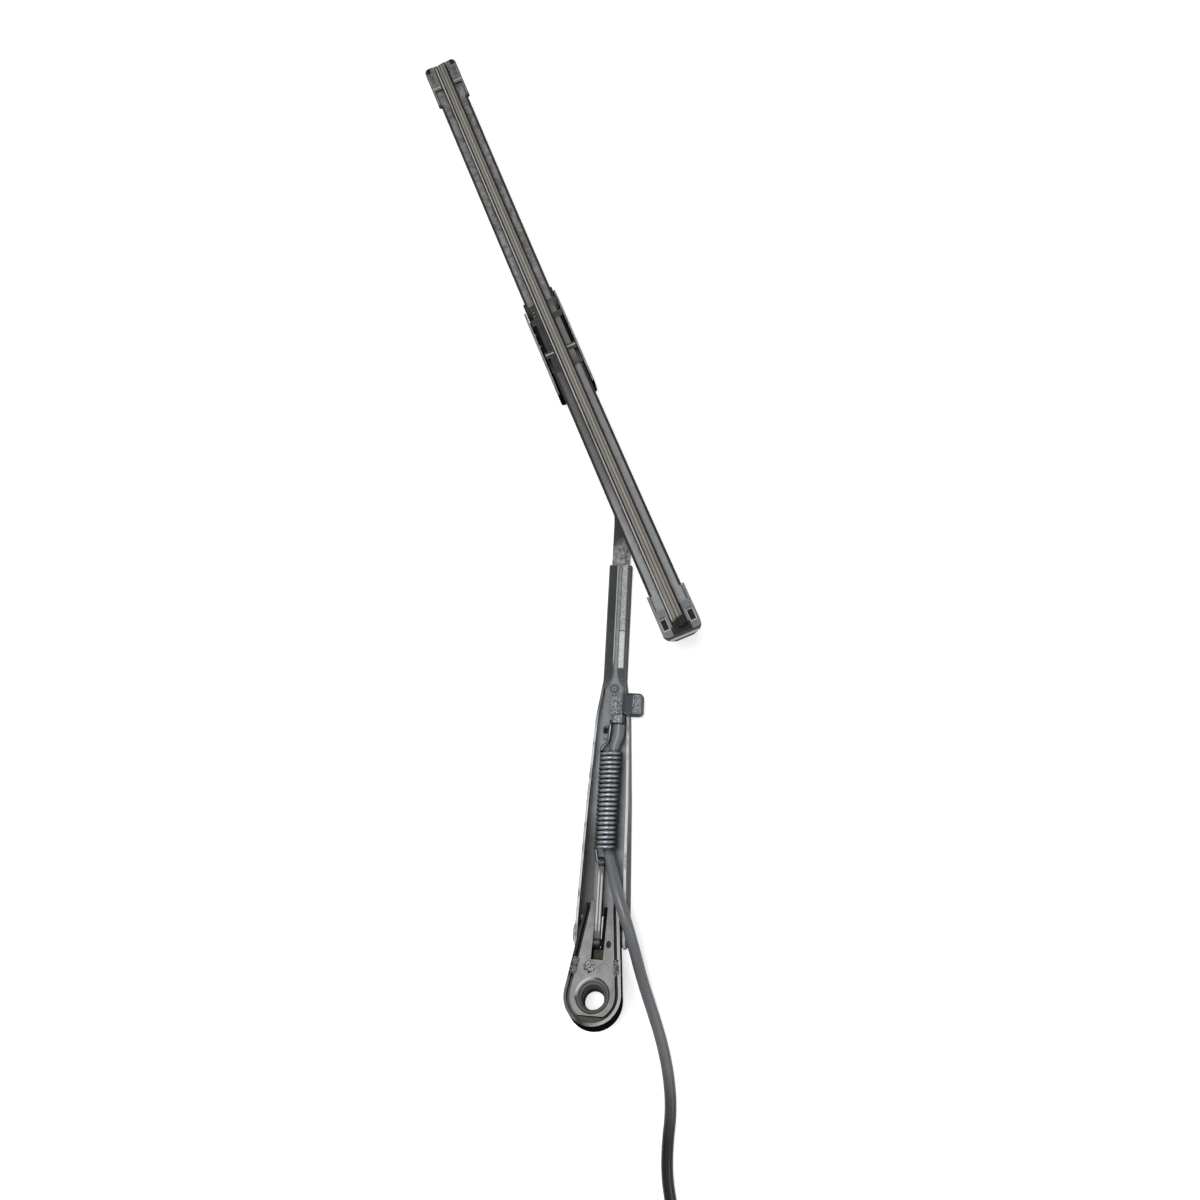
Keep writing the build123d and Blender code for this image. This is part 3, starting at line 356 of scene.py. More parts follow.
def edge_wear_group():
    """Where a coat has worn off along the edges."""
    g, given, out = group("edge wear", [("Radius", 0.0006), ("Patch Scale", 300.0), ("Cover", 0.5)], ["Wear"])
    rounded = g.put("ShaderNodeBevel", {"Radius": given["Radius"]}, samples=6).outputs[0]
    same = g.dot(rounded, g.put("ShaderNodeNewGeometry").outputs["Normal"])
    patch = g.noise(g.where()["Object"], given["Patch Scale"], 4.0, 0.6)
    limit = g.maths("SUBTRACT", 1.0, given["Cover"])
    broken = g.fit(g.maths("SUBTRACT", patch, limit), -0.22, 0.12)
    g.feed(out["Wear"], g.times(g.fit(same, 0.995, 0.82), broken))
    return g.tree


def shelter_group():
    """Patchy mask from ambient occlusion, strongest in corners and hollows: painted shade there, with dirt.
    """
    g, given, out = group("sheltered grime", [("Reach", 0.004), ("Patch Scale", 160.0)], ["Grime"])
    share = g.put("ShaderNodeAmbientOcclusion", {"Distance": given["Reach"]}, samples=6).outputs["AO"]
    patch = g.noise(g.where()["Object"], given["Patch Scale"], 4.0, 0.65)
    g.feed(out["Grime"], g.times(g.fit(share, 0.85, 0.25), g.fit(patch, 0.2, 0.6)))
    return g.tree


def dust_group():
    """Thin blotchy dust, with finer specks in it."""
    g, given, out = group("road dust", [("Blotch Scale", 60.0), ("Speck Scale", 900.0)], ["Blotch", "Speck"])
    place = g.where()["Object"]
    g.feed(out["Blotch"], g.fit(g.noise(place, given["Blotch Scale"], 5.0, 0.62), 0.32, 0.68))
    g.feed(out["Speck"], g.fit(g.noise(place, given["Speck Scale"], 2.0, 0.5), 0.3, 0.7))
    return g.tree


def blade_group():
    """Places along and across the blade in metres, and streaks that run along it."""
    g, given, out = group("along the blade", [("Streak Scale", 700.0)], ["Along", "Across", "Streak"])
    local = g.vector("SUBTRACT", g.where()["Object"], BLADE_MIDDLE)[0]
    along = g.dot(local, TO_TOE)
    across = g.dot(local, ACROSS)
    drawn = g.put("ShaderNodeCombineXYZ", {0: across, 1: g.times(along, 0.03)}).outputs[0]
    g.feed(out["Along"], along)
    g.feed(out["Across"], across)
    g.feed(out["Streak"], g.fit(g.noise(drawn, given["Streak Scale"], 3.0, 0.6), 0.3, 0.7))
    return g.tree


def grain_group():
    """Height of a cast or moulded surface."""
    g, given, out = group("surface grain", [("Grain Scale", 1500.0), ("Pit Scale", 500.0)], ["Height"])
    place = g.where()["Object"]
    fine = g.noise(place, given["Grain Scale"], 2.0, 0.6)
    pits = g.noise(place, given["Pit Scale"], 3.0, 0.5)
    g.feed(out["Height"], g.maths("ADD", fine, g.times(pits, 0.8)))
    return g.tree


GROUPS = {
    "edge wear": edge_wear_group,
    "sheltered grime": shelter_group,
    "road dust": dust_group,
    "along the blade": blade_group,
    "surface grain": grain_group,
}


class Finish(Nodes):
    """A material in the making: its nodes, its shader's sockets, its coordinates and its tone so far."""

    def __init__(self, name, roughness=0.5, metallic=0.0, shine=0.5):
        self.material = bpy.data.materials.new(name)
        self.material.use_nodes = True
        super().__init__(self.material.node_tree)
        self.shader = self.tree.nodes["Principled BSDF"].inputs
        self.shader["Roughness"].default_value = roughness
        self.shader["Metallic"].default_value = metallic
        self.shader["Specular IOR Level"].default_value = shine
        where = self.where()
        self.place = where["Object"]
        self.normal = where["Normal"]
        self.tone = None

    def use(self, name, *values):
        """A shared effect with its own values. Its group is built on the first use."""
        node = self.tree.nodes.new("ShaderNodeGroup")
        node.node_tree = bpy.data.node_groups.get(name) or GROUPS[name]()
        for socket, value in zip(node.inputs, values):
            socket.default_value = value
        return node.outputs

    def dust(self, blotch_scale, speck_scale):
        return self.use("road dust", blotch_scale, speck_scale)

    # mask of painted shade and dirt in corners and hollows, from ambient occlusion
    def grime_and_shade(self, reach, patch_scale):
        return self.use("sheltered grime", reach, patch_scale)["Grime"]

    def wear(self, radius, patch_scale, cover):
        return self.use("edge wear", radius, patch_scale, cover)["Wear"]

    def blade(self, streak_scale):
        return self.use("along the blade", streak_scale)

    def grain(self, grain_scale, pit_scale, depth, strength):
        """Give the shader a relief of this depth in metres."""
        height = self.use("surface grain", grain_scale, pit_scale)["Height"]
        bump = self.put("ShaderNodeBump", {"Height": height, "Strength": strength, "Distance": depth})
        self.feed(self.shader["Normal"], bump.outputs[0])

    def over(self, mask, layer):
        """Lay a colour over the tone so far, as far as the mask says."""
        self.tone = self.mix(mask, self.tone, layer)

    def done(self):
        """The material, with the tone as its base colour."""
        self.feed(self.shader["Base Color"], self.tone)
        return self.material


def coated(thing, material):
    """Give a piece its only material."""
    thing.data.materials.clear()
    thing.data.materials.append(material)


def cast_finish():
    """Bare cast face, dark grooves, a ringed bore and a black painted outside, with painted shade and dirt in
    the hollows and painted shade deep in the arm's slot.
    """
    m = Finish("cast head", 0.5)
    x = m.parts(m.place)["X"]
    blotch, speck = m.dust(130.0, 1600.0)
    grime_and_shade = m.grime_and_shade(0.003, 200.0)
    edge = m.wear(0.0005, 110.0, 0.8)
    facing = m.dot(m.normal, BORE)
    up = m.dot(m.place, BORE)
    along = m.dot(m.place, TONGUE)
    lifted = m.put("ShaderNodeVectorMath", {0: BORE, "Scale": up}, operation="SCALE").outputs[0]
    radius = m.distance(m.place, lifted)
    far_left = m.maths("SUBTRACT", along, x)
    face = m.times(m.fit(facing, 0.6, 0.85), m.fit(up, 0.009, 0.0094))
    rim = m.times(face, m.fit(up, 0.01, 0.0103))
    pale = m.mix(blotch, shade(colours().cast, 0.62), shade(colours().cast, 1.12))
    pale = m.mix(m.times(speck, 0.3), pale, (0.42, 0.42, 0.41))
    mark = m.put("ShaderNodeCombineXYZ", {0: x, 1: along}).outputs[0]
    mark = m.distance(mark, (-0.003, 0.0136, 0.0))
    stamped = m.fit(m.noise(m.place, 1300.0, 1.0, 0.4), 0.44, 0.56)
    stamped = m.mix(stamped, (0.025, 0.025, 0.023), (0.4, 0.4, 0.39))
    pale = m.mix(m.fit(mark, 0.0033, 0.0029), pale, stamped)
    right = m.fit(x, -0.004, 0.006)
    rim_tone = m.mix(right, (0.02, 0.02, 0.019), (0.4, 0.4, 0.39))
    stops = [
        (0.0, 0.03), (0.0052, 0.03), (0.0055, 0.12), (0.0059, 0.015), (0.0062, 0.24), (0.0065, 0.26),
        (0.0067, 0.012), (0.0071, 0.012), (0.0073, 0.13), (0.008, 0.14), (0.0082, 0.008), (0.0088, 0.008),
        (0.009, 0.2),
    ]
    bowl = m.ramp(radius, 0.0, 0.0095, stops)
    glint = m.times(m.fit(radius, 0.0074, 0.008), m.fit(far_left, 0.007, 0.0105))
    bowl = m.mix(m.times(glint, 0.9), bowl, (0.72, 0.72, 0.7))
    bowl = m.mix(m.times(blotch, 0.35), bowl, (0.2, 0.2, 0.185))
    tail = m.fit(along, -0.0088, -0.0098)
    hollow = m.mix(blotch, (0.008, 0.008, 0.007), (0.02, 0.019, 0.016))
    crescent = m.mix(blotch, (0.045, 0.041, 0.03), (0.15, 0.14, 0.105))
    low_left = m.times(m.fit(along, 0.01, 0.007), m.fit(x, -0.006, -0.008))
    hollow = m.mix(low_left, hollow, (0.15, 0.15, 0.145))
    rim_tone = m.mix(low_left, rim_tone, (0.12, 0.12, 0.115))
    hollow = m.mix(tail, hollow, crescent)
    black = m.mix(speck, (0.004, 0.004, 0.005), (0.01, 0.01, 0.012))
    m.tone = m.mix(m.fit(facing, 0.15, 0.45), black, hollow)
    m.over(face, pale)
    m.over(rim, rim_tone)
    m.over(m.fit(radius, 0.0091, 0.0088), bowl)
    # painted shade with dirt in the hollows, from ambient occlusion, weaker at the lower left
    caked = m.times(grime_and_shade, m.fit(low_left, 0.0, 1.0, 0.7, 0.1))
    m.over(caked, (0.022, 0.021, 0.018))
    # painted shade: near black deep in the arm's slot
    in_slot = m.fit(m.maths("ABSOLUTE", m.maths("SUBTRACT", x, ARM_X)), 0.0035, 0.0032)
    in_slot = m.times(in_slot, m.times(m.fit(along, 0.016, 0.0166), m.fit(up, 0.0088, 0.0084)))
    m.over(in_slot, 0.014)
    shine = m.times(edge, m.fit(facing, 0.25, 0.5))
    shine = m.times(shine, m.times(rim, right))
    m.over(shine, (0.8, 0.8, 0.78))
    m.feed(m.shader["Specular IOR Level"], m.fit(facing, 0.2, 0.7, 0.0, 0.35))
    m.grain(2600.0, 700.0, 0.00012, 0.5)
    return m.done()


def in_window(m, x, y):
    """Mask of the small square hole beside the spring's upper tail, where near black is painted as the shade
    seen in it.
    """
    across = m.between(x, -0.0051, -0.005, -0.0021, -0.0022)
    return m.times(across, m.between(y, 0.1374, 0.1375, 0.141, 0.1409))


def channel_finish():
    """Grey coat: pale floor, walls painted as in shade on the left and as lit on the right, rims worn to
    bright metal, painted highlights and painted shade on the crimp's lips, and painted shade with dirt in the
    hollows.
    """
    m = Finish("worn paint", 0.6, shine=0.25)
    x, y, z = m.parts(m.place)
    facing = m.parts(m.normal)["Z"]
    blotch, speck = m.dust(70.0, 1300.0)
    wear = m.wear(0.0007, 120.0, 0.8)
    grime_and_shade = m.grime_and_shade(0.004, 150.0)
    patch = m.noise(m.place, 90.0, 4.0, 0.65)
    right = m.fit(x, ARM_X - 0.0004, ARM_X + 0.0004)
    coat = colours().paint
    # painted shade and light: the left wall darker and bluer, as in shade, the right one paler, as lit
    wall = m.mix(right, (0.105, 0.122, 0.142), (0.17, 0.17, 0.165))
    stain = m.times(m.fit(y, 0.098, 0.085), m.fit(patch, 0.36, 0.52))
    wall = m.mix(m.times(stain, 0.8), wall, MUD)
    floor = m.mix(blotch, shade(coat, 1.5), shade(coat, 2.2))
    floor = m.mix(m.times(speck, 0.25), floor, (0.3, 0.31, 0.315))
    left_floor = m.times(m.fit(x, -0.0045, -0.0062), m.fit(y, 0.096, 0.08))
    floor = m.mix(m.times(left_floor, 0.75), floor, MUD)
    m.tone = m.mix(m.fit(facing, 0.6, 0.9), wall, floor)
    top_line = m.fit(y, 0.0637, 0.1677, BACK + 0.0149, BACK + 0.00585)
    near_top = m.fit(m.maths("SUBTRACT", z, top_line), -0.0022, -0.0012)
    rubbed = m.times(near_top, m.fit(y, 0.15, 0.138))
    rubbed = m.times(rubbed, m.maths("SUBTRACT", 1.0, right))
    rubbed = m.times(rubbed, m.fit(patch, 0.36, 0.5))
    m.over(rubbed, (0.8, 0.81, 0.81))
    # painted shade with dirt in the hollows, from ambient occlusion
    m.over(m.times(grime_and_shade, 0.6), (0.045, 0.047, 0.046))
    rim = m.times(m.fit(facing, 0.35, 0.55), m.fit(z, BACK + 0.0042, BACK + 0.0048))
    worn = m.mix(m.fit(patch, 0.36, 0.52), (0.2, 0.2, 0.195), colours().worn)
    dull = m.mix(blotch, (0.075, 0.072, 0.068), (0.12, 0.118, 0.115))
    worn = m.mix(m.fit(y, 0.14, 0.152), worn, dull)
    lip_left = m.mix(blotch, (0.028, 0.031, 0.033), (0.045, 0.049, 0.05))
    # painted highlight: a bright stripe down the crimp's right lip, with a dark cut across it
    sheen_run = m.times(m.fit(y, 0.1748, 0.1756), m.fit(x, ARM_X + 0.0048, ARM_X + 0.0042))
    mottle = m.fit(m.noise(m.place, 1100.0, 4.0, 0.7), 0.34, 0.62)
    upper = m.mix(mottle, (0.2, 0.205, 0.21), (0.56, 0.57, 0.57))
    lower = m.mix(mottle, (0.44, 0.45, 0.45), (0.72, 0.73, 0.73))
    sheen_band = m.mix(m.fit(y, 0.1963, 0.1975), lower, upper)
    cut = m.between(y, 0.1966, 0.1968, 0.1974, 0.1972)
    sheen_band = m.mix(cut, sheen_band, 0.1)
    dark_run = m.mix(mottle, (0.035, 0.039, 0.045), (0.085, 0.09, 0.094))
    lip_right = m.mix(sheen_run, dark_run, sheen_band)
    # painted highlight along the left lip's inner edge
    inner = m.times(m.fit(x, ARM_X - 0.0017, ARM_X - 0.0015), m.fit(y, 0.176, 0.18))
    lip_left = m.mix(inner, lip_left, (0.42, 0.43, 0.42))
    lips = m.mix(right, lip_left, lip_right)
    beside = m.maths("SUBTRACT", x, ARM_X)
    # painted shade: dark lines along the inner edges of both lips
    slit_edge = m.between(beside, 0.0008, 0.001, 0.0016, 0.0014)
    lips = m.mix(slit_edge, lips, (0.03, 0.032, 0.035))
    crimp = m.mix(right, (0.05, 0.055, 0.06), (0.04, 0.044, 0.05))
    m.over(m.fit(y, 0.158, 0.168), crimp)
    m.over(rim, m.mix(m.fit(y, 0.164, 0.17), worn, lips))
    shine = m.times(wear, m.fit(facing, -0.1, 0.3))
    shine = m.times(shine, m.fit(y, 0.138, 0.15, 1.0, 0.35))
    m.over(shine, (0.74, 0.75, 0.75))
    # painted shade: near black in the square hole
    m.over(in_window(m, x, y), HOLE_SHADE)
    m.grain(1700.0, 400.0, 0.00006, 0.4)
    return m.done()


def rod_finish():
    """Rod: pale with dust inside the channel, painted paler as lit where it shows between the crimp's lips,
    dark where it runs under the blade, with painted shade and dirt in the hollows.
    """
    m = Finish("rod paint", 0.55, shine=0.25)
    x, y = m.parts(m.place)[:2]
    blotch = m.dust(90.0, 1300.0)["Blotch"]
    wear = m.wear(0.0004, 250.0, 0.6)
    grime_and_shade = m.grime_and_shade(0.003, 220.0)
    pale = m.mix(blotch, (0.19, 0.205, 0.212), (0.29, 0.305, 0.315))
    # painted light: paler where the rod shows between the crimp's lips, which lie in shade
    painted_light_in_slit = m.fit(y, 0.17, 0.178)
    pale = m.mix(painted_light_in_slit, pale, (0.4, 0.41, 0.41))
    dark = m.mix(blotch, (0.03, 0.031, 0.034), (0.048, 0.049, 0.053))
    mottle = m.fit(m.noise(m.place, 420.0, 4.0, 0.7), 0.38, 0.62)
    mottled = m.mix(mottle, (0.09, 0.093, 0.097), (0.34, 0.35, 0.355))
    pale = m.mix(m.fit(y, 0.234, 0.2365), pale, mottled)
    slanted = m.maths("ADD", y, m.fit(x, -0.006, 0.006, 0.006, -0.004))
    m.tone = m.mix(m.fit(slanted, 0.248, 0.256), pale, dark)
    # painted shade with dirt in the hollows, from ambient occlusion
    m.over(m.times(grime_and_shade, 0.8), (0.022, 0.024, 0.026))
    m.over(m.times(wear, 0.5), (0.42, 0.43, 0.43))
    # painted shade: near black in the square hole
    m.over(in_window(m, x, y), HOLE_SHADE)
    m.grain(1700.0, 400.0, 0.00006, 0.4)
    return m.done()


def rivet_finish():
    """Small rivet, painted with a dimple's light and shade: a pale edge, two dark rings of painted shade and
    a pale one of painted highlight between them.
    """
    m = Finish("rivet paint", 0.45, shine=0.3)
    blotch = m.dust(300.0, 1300.0)["Blotch"]
    flat = m.vector("MULTIPLY", m.place, (1.0, 1.0, 0.0))[0]
    away = m.distance(flat, (ARM_X, 0.1632, 0.0))
    # painted shade and highlight of a dimple, on the rivet's dome
    stops = [
        (0.0, 0.02), (0.0006, 0.02), (0.0008, 0.3), (0.0011, 0.22), (0.0013, 0.03), (0.0018, 0.03),
        (0.0021, 0.17), (0.0027, 0.22),
    ]
    rings = m.ramp(away, 0.0, 0.003, stops)
    m.tone = m.mix(m.times(blotch, 0.3), rings, (0.12, 0.125, 0.13))
    return m.done()


def bright_finish():
    """Plated steel, a little scratched, with painted shade and dirt in its hollows."""
    m = Finish("bright steel", 0.3, 1.0)
    blotch, speck = m.dust(160.0, 2000.0)
    grime_and_shade = m.grime_and_shade(0.003, 300.0)
    clean = m.mix(speck, colours().bright, (0.75, 0.75, 0.76))
    # painted shade with dirt in the hollows, from ambient occlusion
    m.tone = m.mix(grime_and_shade, clean, (0.1, 0.09, 0.08))
    m.feed(m.shader["Roughness"], m.fit(blotch, 0.0, 1.0, 0.22, 0.42))
    return m.done()


def link_finish():
    """Link: bright lines along its middle, dark sides, faces that do not face up painted near black as shade,
    and dark at both of its eyes.
    """
    m = Finish("link steel", 0.45)
    x, y = m.parts(m.place)[:2]
    facing = m.parts(m.normal)["Z"]
    blotch = m.dust(240.0, 1800.0)["Blotch"]
    off_middle = m.maths("ABSOLUTE", m.maths("ADD", x, 0.0009))
    stops = [(0.0, 0.05), (0.0003, 0.08), (0.0006, 0.52), (0.001, 0.6), (0.0013, 0.1), (0.0016, 0.03)]
    lines = m.ramp(off_middle, 0.0, 0.0016, stops)
    rough_y = m.maths("ADD", y, m.fit(blotch, 0.0, 1.0, -0.002, 0.002))
    dark = m.mix(blotch, (0.012, 0.013, 0.016), (0.055, 0.055, 0.06))
    m.tone = m.mix(m.fit(rough_y, 0.06, 0.064), lines, dark)
    m.over(m.fit(rough_y, 0.036, 0.032), dark)
    # painted shade: faces that do not face up are near black
    m.over(m.fit(facing, 0.6, 0.3), (0.014, 0.014, 0.015))
    m.feed(m.shader["Specular IOR Level"], m.fit(facing, 0.3, 0.8, 0.0, 0.5))
    return m.done()


def spring_finish():
    """Coated wire with soft highlights, painted shade on the coil's far sides and near its ends, and painted
    shade with dirt between the turns.
    """
    m = Finish("coated wire", 0.34, 0.75)
    blotch, speck = m.dust(220.0, 1500.0)
    grime_and_shade = m.grime_and_shade(0.0018, 500.0)
    m.tone = m.mix(blotch, shade(colours().spring, 0.75), shade(colours().spring, 1.45))
    x, y = m.parts(m.place)[:2]
    # painted shade on the coil's far sides and near its two ends
    sides = m.fit(m.maths("ABSOLUTE", m.maths("SUBTRACT", x, SPRING_LOW.x)), 0.0032, 0.005)
    tails = m.maths("MAXIMUM", m.fit(y, 0.0752, 0.0744), m.fit(y, 0.1284, 0.1292))
    shaded = m.maths("MAXIMUM", m.times(sides, 0.75), m.times(tails, 0.6))
    m.over(shaded, (0.035, 0.038, 0.043))
    # painted shade with dirt between the turns, from ambient occlusion
    m.over(grime_and_shade, (0.01, 0.012, 0.016))
    m.feed(m.shader["Roughness"], m.fit(speck, 0.0, 1.0, 0.28, 0.42))
    return m.done()


def hose_finish():
    """Dull hose: grey with specks along the arm, nearly black at its lower end, and painted shade where it
    runs inside the spring.
    """
    m = Finish("hose rubber", 0.42, shine=0.55)
    along = m.parts(m.place)["Y"]
    blotch, speck = m.dust(80.0, 1400.0)
    rough_y = m.maths("ADD", along, m.times(blotch, 0.01))
    # grey along the arm, nearly black towards its lower end
    grey_up_the_arm = m.fit(rough_y, -0.058, -0.015)
    grey = colours().hose_grey
    m.tone = m.mix(m.times(speck, 0.35), grey, shade(grey, 0.6))
    # painted shade: near black where the hose runs inside the spring
    inside = m.between(along, 0.0715, 0.0752, 0.129, 0.1268)
    m.over(inside, (0.01, 0.011, 0.013))
    m.tone = m.mix(grey_up_the_arm, colours().hose, m.tone)
    m.feed(m.shader["Roughness"], m.fit(grey_up_the_arm, 0.0, 1.0, 0.3, 0.36))
    m.grain(2200.0, 600.0, 0.00005, 0.4)
    return m.done()


def rail_finish():
    """Dusty spring strips: pale towards the heel, darkest beside the connector's left."""
    m = Finish("rail steel", 0.6, 0.1, shine=0.25)
    along, across, streak = m.blade(420.0)
    blotch, speck = m.dust(55.0, 1200.0)
    grime_and_shade = m.grime_and_shade(0.003, 120.0)
    rough = m.maths("ADD", along, m.fit(blotch, 0.0, 1.0, -0.008, 0.008))
    heel = (0.4, 0.42, 0.43)
    left = [
        (-0.17, heel), (-0.135, 0.34), (-0.1, 0.17), (-0.02, 0.085), (0.03, 0.3), (0.1, 0.34),
        (0.19, 0.26),
    ]
    right = [(-0.17, heel), (-0.12, 0.37), (-0.04, 0.32), (0.03, 0.34), (0.1, 0.36), (0.19, 0.32)]
    left = m.ramp(rough, -0.2125, 0.2125, left)
    right = m.ramp(rough, -0.2125, 0.2125, right)
    m.tone = m.mix(m.fit(across, -0.001, 0.001), left, right)
    m.over(m.times(streak, 0.28), (0.05, 0.05, 0.047))
    stain = m.fit(m.noise(m.place, 210.0, 5.0, 0.75), 0.4, 0.6)
    toe = m.fit(along, -0.02, 0.06, 0.15, 0.75)
    m.over(m.times(stain, toe), (0.055, 0.053, 0.048))
    m.over(m.times(speck, 0.18), (0.34, 0.335, 0.325))
    # painted shade with dirt in the hollows, from ambient occlusion
    m.over(grime_and_shade, (0.018, 0.018, 0.016))
    return m.done()


def lip_finish():
    """Rubber in bands: a pale line, painted shade in the groove beside it and along both outer edges, and the
    beige wiping lip with its fine lines.
    """
    m = Finish("wiper rubber", 0.7, shine=0.2)
    along, across, streak = m.blade(1700.0)
    speck = m.dust(60.0, 1500.0)["Speck"]
    beige = colours().lip
    warm = shade(beige, 0.8)
    line = shade(beige, 0.22)
    # painted shade: near black in the groove between shoulder and lip, and along both outer edges
    stops = [
        (-0.0036, 0.01), (-0.0033, 0.52), (-0.0028, 0.6), (-0.0026, 0.01), (-0.0019, 0.01),
        (-0.0017, warm), (-0.0008, beige), (-0.0006, line), (-0.0002, line), (0.0, beige), (0.001, beige),
        (0.0012, line), (0.0016, line), (0.0018, warm), (0.0026, warm), (0.0029, 0.008),
    ]
    bands = m.ramp(across, -0.0045, 0.0045, stops)
    pale = m.fit(along, -0.15, -0.18)
    second = m.between(across, -0.0023, -0.0021, -0.0013, -0.0015)
    bands = m.mix(m.times(pale, second), bands, (0.36, 0.34, 0.3))
    bands = m.mix(m.fit(along, -0.202, -0.2036), bands, 0.01)
    drawn = m.mix(0.72, bands, (0.02, 0.018, 0.014))
    m.tone = m.mix(m.times(streak, 0.22), bands, drawn)
    m.over(m.times(speck, 0.12), (0.24, 0.23, 0.21))
    return m.done()


def plate_finish():
    """Connector plates: dark on the left, with dust on the right and pale ends; painted shade along their
    outer edges, where the gaps are, and painted shade with dirt in the hollows.
    """
    m = Finish("connector plastic", 0.6, shine=0.05)
    along, across = m.blade(500.0)[:2]
    blotch = m.dust(90.0, 1300.0)["Blotch"]
    wear = m.wear(0.0004, 260.0, 0.55)
    grime_and_shade = m.grime_and_shade(0.002, 260.0)
    right = m.fit(across, -0.0005, 0.0005)
    raised = m.fit(m.parts(m.place)["Z"], BACK + 0.0221, BACK + 0.0223)
    # painted shade: near black along the plates' outer edges, as in the gaps beside them
    gap_shade = m.fit(m.maths("ABSOLUTE", across), 0.0078, 0.008)
    gap_shade = m.times(gap_shade, m.maths("SUBTRACT", 1.0, raised))
    m.tone = m.mix(right, (0.042, 0.042, 0.039), (0.2, 0.2, 0.188))
    m.over(m.times(raised, right), (0.065, 0.066, 0.062))
    m.over(m.times(blotch, 0.3), (0.1, 0.1, 0.095))
    # painted shade with dirt in the hollows, from ambient occlusion
    m.over(grime_and_shade, (0.008, 0.008, 0.007))
    m.over(m.times(wear, 0.6), (0.42, 0.415, 0.4))
    for start in (0.0085, -0.0125):
        line = m.between(along, start, start + 0.0002, start + 0.001, start + 0.0008)
        m.over(m.times(line, raised), (0.46, 0.455, 0.44))
    m.over(gap_shade, 0.005)
    return m.done()


def cap_finish():
    """Caps: mottled plastic, paler at the heel, with black corner pockets at the toe; painted shade on their
    sides and in their pockets, painted highlight lines round the heel cap's pocket and along its end, and
    painted shade with dirt in the hollows.
    """
    m = Finish("cap plastic", 0.5, shine=0.3)
    along, across = m.blade(600.0)[:2]
    speck = m.dust(120.0, 1300.0)["Speck"]
    wear = m.wear(0.0006, 180.0, 0.75)
    grime_and_shade = m.grime_and_shade(0.003, 260.0)
    mottle = m.fit(m.noise(m.place, 420.0, 4.0, 0.7), 0.36, 0.64)
    toe = m.fit(along, 0.0, 0.1)
    base = colours().cap
    m.tone = m.mix(toe, base, (0.165, 0.163, 0.152))
    m.over(m.times(mottle, m.fit(toe, 0.0, 1.0, 0.4, 0.75)), (0.04, 0.041, 0.038))
    m.over(m.times(speck, 0.2), (0.3, 0.305, 0.31))
    # painted shade with dirt in the hollows, from ambient occlusion
    m.over(grime_and_shade, 0.006)
    m.over(m.times(wear, 0.8), (0.55, 0.56, 0.57))
    facing = m.parts(m.normal)["Z"]
    # painted shade: faces that do not face up are dark
    m.over(m.fit(facing, 0.55, 0.3), (0.03, 0.032, 0.036))
    claw = m.between(along, 0.1953, 0.1955, 0.1964, 0.1962)
    m.over(m.times(claw, 0.8), (0.44, 0.43, 0.4))
    out = m.maths("ABSOLUTE", across)
    # on the heel cap: a pale frame round the pocket and a bright line along the end, both painted highlights;
    # painted shade in the pocket; and a dark patch at the end
    for low, high, first, last, spot_tone in (
        (0.0059, 0.0097, -0.2071, -0.1997, (0.5, 0.51, 0.52)),
        (0.0063, 0.0093, -0.2066, -0.2, 0.006),
        (0.0, 0.0085, -0.2121, -0.2115, (0.58, 0.59, 0.6)),
        (0.0, 0.0055, -0.2114, -0.206, 0.012),
    ):
        spot = m.between(out, low - 0.0001, low, high, high - 0.0001)
        spot = m.times(spot, m.fit(along, first, first + 0.0001))
        spot = m.times(spot, m.fit(along, last, last - 0.0001))
        m.over(spot, spot_tone)
    # painted shade: near black in the corner pockets at the toe
    pocket = m.between(out, 0.007, 0.0072, 0.01, 0.0098)
    pocket = m.times(pocket, m.fit(along, 0.207, 0.2072))
    m.over(pocket, 0.005)
    m.grain(2400.0, 800.0, 0.00008, 0.5)
    return m.done()


def cover_finish():
    """Black cover with rubbed grey wall tops."""
    m = Finish("cover plastic", 0.6, shine=0.0)
    blotch, speck = m.dust(120.0, 1300.0)
    height = m.parts(m.place)["Z"]
    facing = m.parts(m.normal)["Z"]
    top = m.times(m.fit(facing, 0.5, 0.8), m.fit(height, BACK + 0.0125, BACK + 0.013))
    black = m.mix(speck, colours().cover, 0.014)
    grey = m.mix(blotch, (0.16, 0.16, 0.155), (0.4, 0.4, 0.39))
    m.tone = m.mix(top, black, grey)
    return m.done()


def plastic_finish(name, base, pale, roughness, shine=0.25, cover=0.6):
    """Moulded plastic with dust on it, painted shade with dirt in the hollows, and paler rubbed edges."""
    m = Finish(name, roughness, shine=shine)
    blotch, speck = m.dust(90.0, 1300.0)
    wear = m.wear(0.0005, 250.0, cover)
    grime_and_shade = m.grime_and_shade(0.0025, 220.0)
    m.tone = m.mix(blotch, shade(base, 0.75), shade(base, 1.15))
    m.over(m.times(speck, 0.2), pale)
    # painted shade with dirt in the hollows, from ambient occlusion
    m.over(m.times(grime_and_shade, 0.9), 0.008)
    m.over(m.times(wear, 0.75), pale)
    m.grain(2400.0, 800.0, 0.00006, 0.4)
    return m.done()


